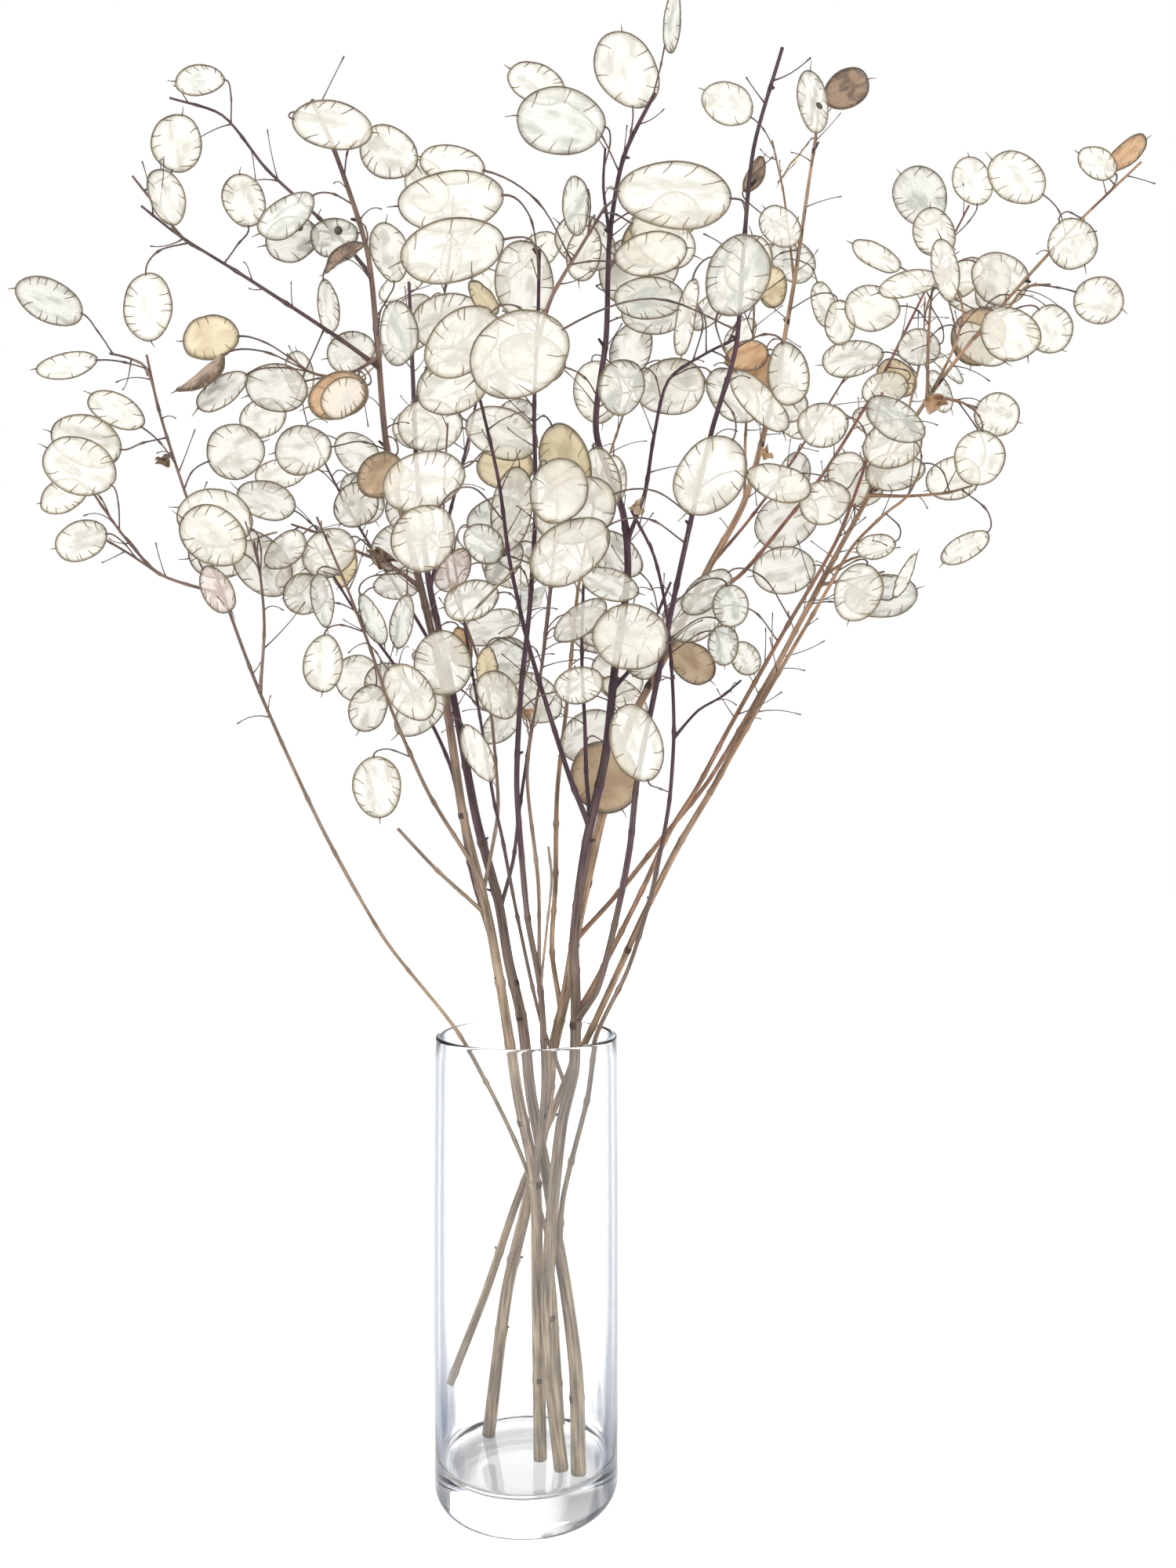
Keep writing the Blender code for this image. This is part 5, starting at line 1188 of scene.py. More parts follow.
def hang_pods(routes: Routes) -> list[Pod]:
    """All pods: those listed, then those that the rule adds.

    Args:
        routes: All strands.

    Returns:
        The pods with their colours.
    """
    crowd = Crowd()
    for route in routes.values():
        thick = [radius * 1.15 + SEAT_GAP for radius in route.radii]
        crowd.add(*tube_faces(route.points, thick, 6), route)
    pods = []
    for placed in PLACED_PODS:
        pod = pod_by_eye(placed, routes, crowd)
        if pod:
            pods.append(pod._replace(tone=placed.tone))
            crowd.add(*pod_faces(pod), pod)
    draw = random.Random(SEED_OF_PODS)
    set_by_eye = len(pods)
    for route in routes.values():
        pods += pods_along(route, route.pods, crowd, draw)
    draw = random.Random(SEED_OF_SMALL_PODS)
    for stem, counts in SMALL_PODS.items():
        for name, count in counts.items():
            pods += pods_along(routes[stem, name], count, crowd, draw)
    for number in range(set_by_eye, len(pods)):
        tone = draw.choices(list(RULE_TONES), RULE_TONES.values())[0]
        pods[number] = pods[number]._replace(tone=tone)
    return pods


def arc_points(
    centre: tuple[float, float], radius: float, start: float, end: float, steps: int
) -> list[tuple[float, float]]:
    """Points of an arc in the (radius, height) plane, from one angle to another in degrees.

    Args:
        centre: The arc's centre.
        radius: Its radius.
        start: Its first angle.
        end: Its last angle.
        steps: The number of steps.

    Returns:
        The points, the ends included.
    """
    points = []
    for step in range(steps + 1):
        angle = math.radians(start + (end - start) * step / steps)
        points.append(
            (centre[0] + radius * math.cos(angle), centre[1] + radius * math.sin(angle))
        )
    return points


def array_of(points: Iterable[Vector]) -> Array:
    """Points as rows of an array."""
    return np.array([tuple(point) for point in points])


def unit(vectors: Array) -> Array:
    """Vectors scaled to length one."""
    length = np.linalg.norm(vectors, axis=-1, keepdims=True)
    return vectors / np.maximum(length, 1e-12)


def bend_between(
    start: Array, end: Array, go: Array, come: Array, shares: Array
) -> Array:
    """Points of a smooth bend.

    Args:
        start: Where it starts.
        end: Where it ends.
        go: Its direction at the start, scaled by its length.
        come: Its direction at the end, likewise.
        shares: How far along the points lie, from 0 to 1.

    Returns:
        The points, one a row.
    """
    t = shares[:, None]
    rise = 3 * t**2 - 2 * t**3
    return start + (end - start) * rise + (t**3 - 2 * t**2 + t) * go + (t**3 - t**2) * come


def smooth_line(knots: Array, spacing: float) -> Array:
    """A smooth line through all knots.

    Args:
        knots: The points that the line passes through, one a row.
        spacing: The distance between its points.

    Returns:
        The points of the line, one a row.
    """
    ends = np.vstack([2 * knots[0] - knots[1], knots, 2 * knots[-1] - knots[-2]])
    line = []
    for before, start, end, after in zip(ends, ends[1:], ends[2:], ends[3:]):
        span = np.linalg.norm(end - start)
        go = (end - before) / np.linalg.norm(end - before) * span * LINE_PULL
        come = (after - start) / np.linalg.norm(after - start) * span * LINE_PULL
        shares = np.linspace(0, 1, max(2, round(span / spacing)), endpoint=False)
        line.append(bend_between(start, end, go, come, shares))
    return np.vstack([*line, knots[-1]])


def lengths_along(points: Array) -> Array:
    """The distance of each point from the first, along the line."""
    return np.concatenate([[0.0], np.cumsum(np.linalg.norm(np.diff(points, axis=0), axis=1))])


def place_on(points: Array, distance: float) -> tuple[Array, Array]:
    """The point at a distance along a line, and the line's direction there.

    Args:
        points: The line's points.
        distance: The distance from its start.

    Returns:
        The point and the direction.
    """
    along = lengths_along(points)
    index = int(np.clip(np.searchsorted(along, distance) - 1, 0, len(points) - 2))
    share = (distance - along[index]) / max(along[index + 1] - along[index], 1e-9)
    step = points[index + 1] - points[index]
    return points[index] + step * np.clip(share, 0, 1), unit(step)


def drawn_to(points: Array, target: Array) -> Array:
    """The point of a line that is nearest to a target.

    Args:
        points: The line's points.
        target: The place to come near to.

    Returns:
        The point.
    """
    starts, steps = points[:-1], np.diff(points, axis=0)
    share = np.clip(((target - starts) * steps).sum(1) / (steps * steps).sum(1), 0, 1)
    spots = starts + steps * share[:, None]
    return spots[np.linalg.norm(spots - target, axis=1).argmin()]


def circle(count: int) -> Array:
    """Evenly spaced points of the unit circle, one a row."""
    angles = np.arange(count) / count * math.tau
    return np.stack([np.cos(angles), np.sin(angles)], axis=1)


def band_faces(rings: int, sides: int) -> Array:
    """The faces between rings of corners that follow each other.

    Args:
        rings: The number of rings.
        sides: The corners in each ring.

    Returns:
        One face a row, as indices into the corners.
    """
    a = np.arange((rings - 1) * sides).reshape(-1, sides)
    b = np.roll(a, -1, axis=1)
    return np.stack([a, b, b + sides, a + sides], axis=-1).reshape(-1, 4)


class Draft:
    """A mesh in the making: corners, faces with texture places, and a finish for each face."""

    def __init__(self, finishes: Sequence[Material]) -> None:
        """Starts an empty mesh.

        Args:
            finishes: The materials that its faces may wear.
        """
        self.finishes = list(finishes)
        self.corners: list[Array] = []
        self.faces: list[list[int]] = []
        self.places: list[Array] = []
        self.wears: list[int] = []
        self.count = 0

    def add(self, corners: Array, *parts: tuple[Array, Array, Wear]) -> None:
        """Adds corners, and faces between them.

        Args:
            corners: The new corners, one a row.
            *parts: Faces with the same number of corners, as indices into the new corners, the
                texture place of each corner of each face, and the finish of the faces.
        """
        self.corners.append(corners)
        for faces, places, wears in parts:
            self.faces += (faces + self.count).tolist()
            self.places.append(places.reshape(-1, 2))
            self.wears += np.broadcast_to(wears, len(faces)).tolist()
        self.count += len(corners)

    def tube(self, points: Array, radii: Array, sides: int, wears: Wear) -> None:
        """Adds a closed tube along a line.

        Args:
            points: The line's points, one a row.
            radii: A radius for each point, or for each point and side.
            sides: The number of sides.
            wears: The finish of all faces, or of the faces of each ring and side.
        """
        count = len(points)
        tangents = unit(np.gradient(points, axis=0))
        hint = np.cross(tangents[0], (0.3, 0.2, 1.0))
        frames = np.empty((count, 2, 3))
        for index, tangent in enumerate(tangents):
            hint = unit(hint - tangent * hint.dot(tangent))
            frames[index] = hint, np.cross(tangent, hint)
        rings = points[:, None] + circle(sides) @ frames * np.reshape(radii, (count, -1, 1))
        turns = np.arange(sides + 1) / sides
        v, u = np.meshgrid(lengths_along(points) / UV_LENGTH, turns, indexing="ij")
        spots = np.stack([u, v], axis=-1)
        places = np.stack([spots[:-1, :-1], spots[:-1, 1:], spots[1:, 1:], spots[1:, :-1]], axis=2)
        worn = np.broadcast_to(wears, (count - 1, sides)).ravel()
        caps = np.array([range(sides - 1, -1, -1), range((count - 1) * sides, count * sides)])
        self.add(
            rings.reshape(-1, 3),
            (band_faces(count, sides), places, worn),
            (caps, np.zeros((2, sides, 2)), worn[0]),
        )

    def hoop(
        self,
        points: Array,
        outward: Array,
        normal: Array,
        radii: Array,
        sides: int,
        wears: int,
    ) -> None:
        """Adds a tube along a line that closes on itself.

        Args:
            points: The line's points, one a row.
            outward: The way out of the loop at each point.
            normal: The direction square to the loop.
            radii: The tube's radius at each point.
            sides: The number of sides.
            wears: The finish of the faces.
        """
        out, up = circle(sides).T[:, None, :, None]
        rings = points[:, None] + (out * outward[:, None] + up * normal) * radii[:, None, None]
        a = np.arange(len(points) * sides).reshape(-1, sides)
        b = np.roll(a, -1, axis=1)
        faces = np.stack([a, np.roll(a, -1, axis=0), np.roll(b, -1, axis=0), b], -1).reshape(-1, 4)
        self.add(rings.reshape(-1, 3), (faces, np.zeros((len(faces), 4, 2)), wears))

    def build(self, name: str, stem: str, slot: str) -> Object:
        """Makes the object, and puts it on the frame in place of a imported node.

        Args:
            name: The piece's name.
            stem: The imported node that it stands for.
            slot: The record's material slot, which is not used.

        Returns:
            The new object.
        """
        mesh = bpy.data.meshes.new(name)
        mesh.from_pydata(np.concatenate(self.corners).tolist(), [], self.faces)
        layer = mesh.uv_layers.new(name="UVMap")
        layer.data.foreach_set("uv", np.concatenate(self.places).astype(np.float32).ravel())
        for finish in self.finishes:
            mesh.materials.append(finish)
        mesh.polygons.foreach_set("material_index", np.array(self.wears, np.int32))
        mesh.shade_smooth()
        mesh.update()
        piece = bpy.data.objects.new(name, mesh)
        bpy.context.scene.collection.objects.link(piece)
        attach(piece, "root")
        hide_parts(stem)
        LOG.info("%s: %d faces", name, len(self.faces))
        return piece


class Graph:
    """A node tree with short calls to add nodes and link them."""

    def __init__(self, tree: NodeTree) -> None:
        """Wraps a node tree."""
        self.tree = tree

    def add(self, kind: str, inputs: dict | None = None, **settings: object) -> Node:
        """Adds a node.

        Args:
            kind: The node's type, without its first part, ShaderNode.
            inputs: Values or output sockets for its inputs, by name or number.
            **settings: Values for its properties.

        Returns:
            The new node.
        """
        node = self.tree.nodes.new("ShaderNode" + kind)
        for name, value in settings.items():
            setattr(node, name, value)
        return self.fill(node, inputs or {})

    def fill(self, node: Node, inputs: dict) -> Node:
        """Sets inputs of a node, or links output sockets to them.

        Args:
            node: The node.
            inputs: Values or output sockets, by the input's name or number.

        Returns:
            The node.
        """
        for key, value in inputs.items():
            if isinstance(value, NodeSocket):
                self.tree.links.new(value, node.inputs[key])
            else:
                node.inputs[key].default_value = value
        return node

    def noise(
        self, vector: Input, stretch: tuple, scale: float, detail: float
    ) -> NodeSocket:
        """A noise that is stretched along an axis, as values from 0 to 1.

        Args:
            vector: The place that it is read at.
            stretch: A factor for each axis.
            scale: How fine it is.
            detail: How many finer layers it has.

        Returns:
            The noise.
        """
        place = self.add("VectorMath", {0: vector, 1: stretch}, operation="MULTIPLY")
        noise = self.add(
            "TexNoise", {"Vector": place.outputs[0], "Scale": scale, "Detail": detail}
        )
        return noise.outputs["Fac"]

    def ramp(
        self, value: Input, low: float, high: float, to: tuple = (0.0, 1.0)
    ) -> NodeSocket:
        """A value moved smoothly from one range to another.

        Args:
            value: The value.
            low: Where its range starts.
            high: Where its range ends.
            to: The range that it is moved to.

        Returns:
            The new value.
        """
        node = self.add(
            "MapRange",
            {"Value": value, "From Min": low, "From Max": high, "To Min": to[0], "To Max": to[1]},
            interpolation_type="SMOOTHSTEP",
        )
        return node.outputs["Result"]

    def math(self, operation: str, a: Input, b: Input = 0.0) -> NodeSocket:
        """The result of a sum on two values."""
        return self.add("Math", {0: a, 1: b}, operation=operation).outputs[0]

    def mix(self, share: Input, a: Input, b: Input) -> NodeSocket:
        """A mix of two colours."""
        node = self.add("Mix", {0: share, 6: a, 7: b}, data_type="RGBA")
        return node.outputs[2]


def new_group(
    name: str, inputs: dict, outputs: dict
) -> tuple[Graph, Node, Node]:
    """An empty shader node group.

    Args:
        name: The group's name.
        inputs: The socket type of each input.
        outputs: The socket type of each output.

    Returns:
        The group's graph, its input node and its output node.
    """
    tree = bpy.data.node_groups.new(name, "ShaderNodeTree")
    for way, sockets in (("INPUT", inputs), ("OUTPUT", outputs)):
        for socket, kind in sockets.items():
            tree.interface.new_socket(name=socket, in_out=way, socket_type="NodeSocket" + kind)
    given, out = (tree.nodes.new("NodeGroup" + way) for way in ("Input", "Output"))
    return Graph(tree), given, out


def rgba(colour: Colour) -> tuple[float, float, float, float]:
    """A colour with full opacity."""
    return (*colour, 1.0)


def membrane_group() -> NodeTree:
    """The cloudy, silky tissue of a pod, which reads its place on the pod from the texture map.

    Returns:
        A group that gives the tissue's colour, how cloudy it is, and its height.
    """
    graph, given, out = new_group(
        "papery_tissue",
        {"Pale": "Color", "Cloudy": "Color", "Edge": "Color", "Contrast": "Float"},
        {"Color": "Color", "Cloud": "Float", "Height": "Float"},
    )
    place = graph.add("TexCoord").outputs["UV"]
    fibres = graph.noise(place, (3.0, 26.0, 1.0), 1.0, 3.0)
    clouds = graph.noise(place, (2.6, 4.2, 1.0), 1.0, 4.0)
    specks = graph.noise(place, (30.0, 30.0, 1.0), 1.0, 2.0)
    local = graph.add("VectorMath", {0: place}, operation="FRACTION").outputs[0]
    middle = graph.add("VectorMath", {0: local, 1: (0.5, 0.5, 0)}, operation="SUBTRACT")
    reach = graph.add("VectorMath", {0: middle.outputs[0]}, operation="LENGTH")
    edge = graph.ramp(reach.outputs["Value"], 0.37, 0.5)
    silk = graph.ramp(fibres, 0.5, 0.75, (0, 0.5))
    cloud = graph.math("ADD", graph.ramp(clouds, 0.42, 0.68), silk)
    cloud = graph.math("MULTIPLY", cloud, given.outputs["Contrast"])
    cloud = graph.math("MINIMUM", cloud, 1.0)
    colour = graph.mix(cloud, given.outputs["Pale"], given.outputs["Cloudy"])
    worn = graph.math("MULTIPLY", edge, graph.ramp(specks, 0.35, 0.7, (0.25, 0.8)))
    colour = graph.mix(worn, colour, given.outputs["Edge"])
    height = graph.math("ADD", fibres, specks)
    cloud = graph.math("MAXIMUM", cloud, worn)
    graph.fill(out, {"Color": colour, "Cloud": cloud, "Height": height})
    return graph.tree


def bark_group() -> NodeTree:
    """Dry bark with lengthwise fibres, blotches and small dark marks.

    Returns:
        A group that gives the bark's colour and its height.
    """
    graph, given, out = new_group(
        "dry_bark",
        {"Foot": "Color", "Tip": "Color", "Low": "Float", "High": "Float", "Marks": "Float"},
        {"Color": "Color", "Height": "Float"},
    )
    texture = graph.add("TexCoord")
    place, spot = texture.outputs["UV"], texture.outputs["Object"]
    height = graph.add("SeparateXYZ", {0: spot}).outputs["Z"]
    blotch = graph.noise(spot, (1.0, 1.0, 0.45), 70.0, 3.0)
    fibres = graph.noise(place, (16.0, 0.9, 1.0), 1.0, 3.0)
    fine = graph.noise(place, (42.0, 2.2, 1.0), 1.0, 2.0)
    wander = graph.math("MULTIPLY", graph.math("SUBTRACT", blotch, 0.5), 0.3)
    level = graph.add(
        "MapRange",
        {
            "Value": graph.math("ADD", height, wander),
            "From Min": given.outputs["Low"],
            "From Max": given.outputs["High"],
        },
    ).outputs["Result"]
    colour = graph.mix(level, given.outputs["Foot"], given.outputs["Tip"])
    shade = graph.ramp(fibres, 0.34, 0.66, (0.5, 1.28))
    shade = graph.math("MULTIPLY", shade, graph.ramp(blotch, 0.34, 0.66, (0.66, 1.2)))
    tinted = graph.add("VectorMath", {0: colour, 3: shade}, operation="SCALE").outputs[0]
    marks = graph.math("MULTIPLY", graph.ramp(fine, 0.6, 0.72), given.outputs["Marks"])
    colour = graph.mix(marks, tinted, (0.035, 0.022, 0.018, 1))
    graph.fill(out, {"Color": colour, "Height": graph.math("ADD", fibres, fine)})
    return graph.tree


@dataclass(frozen=True)
class Bark:
    """The bark of a stem, its colour at the foot and further up."""

    name: str
    foot: Colour
    tip: Colour
    low: float
    high: float
    marks: float = 0.35
    roughness: float = 0.62

    def build(self, group: NodeTree) -> Material:
        """Makes the material.

        Args:
            group: The bark's node group.

        Returns:
            The new material.
        """
        material, graph, shader = new_material(self.name)
        given = {
            "Foot": rgba(self.foot),
            "Tip": rgba(self.tip),
            "Low": self.low,
            "High": self.high,
            "Marks": self.marks,
        }
        bark = graph.add("Group", given, node_tree=group)
        link_surface(graph, shader, bark, BARK_RELIEF)
        graph.fill(shader, {"Roughness": self.roughness, "Specular IOR Level": 0.3})
        return material


@dataclass(frozen=True)
class Tissue:
    """The tissue of a pod: how it looks where thin, where cloudy and at its edge."""

    name: str
    pale: Colour
    cloudy: Colour
    edge: Colour
    contrast: float = 0.9
    opacity: tuple[float, float] = (0.38, 0.74)
    roughness: float = 0.42
    sheen: float = 0.25

    def build(self, group: NodeTree) -> Material:
        """Makes the material.

        Args:
            group: The tissue's node group.

        Returns:
            The new material.
        """
        material, graph, shader = new_material(self.name)
        given = {
            "Pale": rgba(self.pale),
            "Cloudy": rgba(self.cloudy),
            "Edge": rgba(self.edge),
            "Contrast": self.contrast,
        }
        tissue = graph.add("Group", given, node_tree=group)
        link_surface(graph, shader, tissue, TISSUE_RELIEF)
        gloss = {"Roughness": self.roughness, "Specular IOR Level": 0.35}
        graph.fill(shader, {**gloss, "Sheen Weight": self.sheen})
        if self.opacity[0] < 1:
            alpha = graph.ramp(tissue.outputs["Cloud"], 0.0, 1.0, self.opacity)
            graph.fill(shader, {"Alpha": alpha})
        return material


def new_material(name: str) -> tuple[Material, Graph, Node]:
    """A material with a plain Principled shader.

    Args:
        name: The material's name.

    Returns:
        The material, its graph and its shader node.
    """
    material = bpy.data.materials.new(name)
    material.use_nodes = True
    return material, Graph(material.node_tree), material.node_tree.nodes["Principled BSDF"]


def link_surface(
    graph: Graph, shader: Node, group: Node, relief: float
) -> None:
    """Feeds a group's colour and height to a shader.

    Args:
        graph: The material's graph.
        shader: Its shader node.
        group: The group node that gives Color and Height.
        relief: The depth of the bumps, in metres.
    """
    bump = graph.add(
        "Bump", {"Height": group.outputs["Height"], "Distance": relief, "Strength": 0.6}
    )
    graph.fill(shader, {"Base Color": group.outputs["Color"], "Normal": bump.outputs["Normal"]})


@dataclass(frozen=True)
class ClearGlass:
    """The clear glass of the vase."""

    name: str = "clear_glass"
    colour: Colour = (0.99, 0.995, 1.0)
    # Painted shade: the dark colour painted on the glass where it is seen edge on and in its low
    # streaks.
    edge: Colour = (0.07, 0.095, 0.15)
    ior: float = 1.46

    def build(self) -> Material:
        """Makes the material, with painted shade where the glass is seen edge on and in streaks
        near its foot, and faint waves in the surface.

        Returns:
            The new material.
        """
        material, graph, shader = new_material(self.name)
        around = graph.add("TexCoord").outputs
        spot = around["Object"]
        height = graph.add("SeparateXYZ", {0: spot}).outputs["Z"]
        slope = graph.add("SeparateXYZ", {0: around["Normal"]}).outputs["Z"]
        upright = graph.ramp(graph.math("ABSOLUTE", slope), 0.95, 0.35)
        # Painted shade: dark streaks near the foot of the glass, added to its edge-on darkening.
        foot_shade_streaks = graph.noise(spot, (1.0, 1.0, 0.22), 90.0, 2.0)
        foot_shade_streaks = graph.ramp(foot_shade_streaks, 0.40, 0.62, (0.35, 1.0))
        low = graph.math("MULTIPLY", graph.ramp(height, 0.115, 0.03), foot_shade_streaks)
        # Painted shade: where the wall is seen edge on, its colour is mixed toward the dark edge
        # colour.
        facing = graph.add("LayerWeight", {"Blend": 0.5}).outputs["Facing"]
        facing = graph.math("ADD", facing, graph.math("MULTIPLY", low, LOW_STREAK_SHADE))
        share = graph.math("MULTIPLY", graph.ramp(facing, *EDGE_SHADE_RANGE), upright)
        shaded_glass_colour = graph.mix(share, rgba(self.colour), rgba(self.edge))
        clear = {"Roughness": 0.0, "IOR": self.ior, "Transmission Weight": 1.0}
        waves = graph.noise(spot, (1.0, 1.0, 0.35), 22.0, 1.0)
        bump = graph.add(
            "Bump", {"Height": waves, "Distance": GLASS_RELIEF, "Strength": 0.4}
        )
        graph.fill(shader, {**clear, "Base Color": shaded_glass_colour, "Normal": bump.outputs["Normal"]})
        return material


BARKS = {
    Wood.PURPLE: Bark("bark_purple", (0.46, 0.36, 0.24), (0.075, 0.038, 0.055), 0.08, 0.47),
    Wood.TAUPE: Bark("bark_taupe", (0.50, 0.40, 0.27), (0.21, 0.135, 0.105), 0.08, 0.55),
    Wood.TAN: Bark("bark_tan", (0.44, 0.335, 0.225), (0.33, 0.21, 0.135), 0.08, 0.50),
    Wood.RUST: Bark("bark_rust", (0.36, 0.22, 0.14), (0.23, 0.105, 0.08), 0.30, 0.75),
    Wood.TWIG: Bark("twig_dark", (0.12, 0.075, 0.07), (0.10, 0.058, 0.06), 0.3, 0.8, 0.2),
    Wood.STALK: Bark("stalk_brown", (0.16, 0.115, 0.09), (0.15, 0.10, 0.085), 0.3, 0.9, 0.1),
    Wood.SCAR: Bark("bark_scar", (0.15, 0.11, 0.075), (0.05, 0.03, 0.028), 0.1, 0.6, 0.8, 0.8),
    Wood.THREAD: Bark("seed_thread", (0.33, 0.245, 0.13), (0.31, 0.23, 0.125), 0.3, 0.9, 0.1),
    Wood.RIM: Bark("pod_rim", (0.20, 0.155, 0.095), (0.185, 0.145, 0.09), 0.3, 0.9, 0.15, 0.5),
}

TISSUES = {
    Tone.SILVER: Tissue(
        "tissue_silver", (0.85, 0.825, 0.74), (0.60, 0.58, 0.51), (0.80, 0.69, 0.47)
    ),
    Tone.GREY: Tissue(
        "tissue_grey", (0.77, 0.765, 0.69), (0.51, 0.52, 0.47), (0.60, 0.54, 0.40), 1.0
    ),
    Tone.PINK: Tissue(
        "tissue_pink", (0.72, 0.61, 0.54), (0.50, 0.40, 0.35), (0.45, 0.34, 0.26), 1.0
    ),
    Tone.SEEDED: Tissue(
        "tissue_seeded", (0.80, 0.78, 0.70), (0.48, 0.465, 0.42), (0.5, 0.44, 0.33), 1.2
    ),
    Tone.YELLOW: Tissue(
        "husk_yellow", (0.72, 0.61, 0.40), (0.52, 0.42, 0.25), (0.42, 0.30, 0.14), 1.0, (0.75, 0.9)
    ),
    Tone.TAN: Tissue(
        "husk_tan", (0.54, 0.40, 0.25), (0.36, 0.25, 0.15), (0.28, 0.18, 0.10), 1.2, (0.85, 1.0)
    ),
    Tone.ORANGE: Tissue(
        "husk_orange", (0.58, 0.37, 0.20), (0.40, 0.23, 0.12), (0.28, 0.15, 0.08), 1.2, (0.9, 1.0)
    ),
    Tone.BROWN: Tissue(
        "husk_brown", (0.30, 0.20, 0.13), (0.12, 0.08, 0.055), (0.10, 0.06, 0.04), 1.3, (1.0, 1.0)
    ),
}
SEED_TISSUE = Tissue(
    "dark_seed", (0.05, 0.03, 0.02), (0.025, 0.015, 0.012), (0.02, 0.01, 0.01), 1.0, (1.0, 1.0)
)
HUSKS = (Tone.YELLOW, Tone.TAN, Tone.ORANGE, Tone.BROWN)


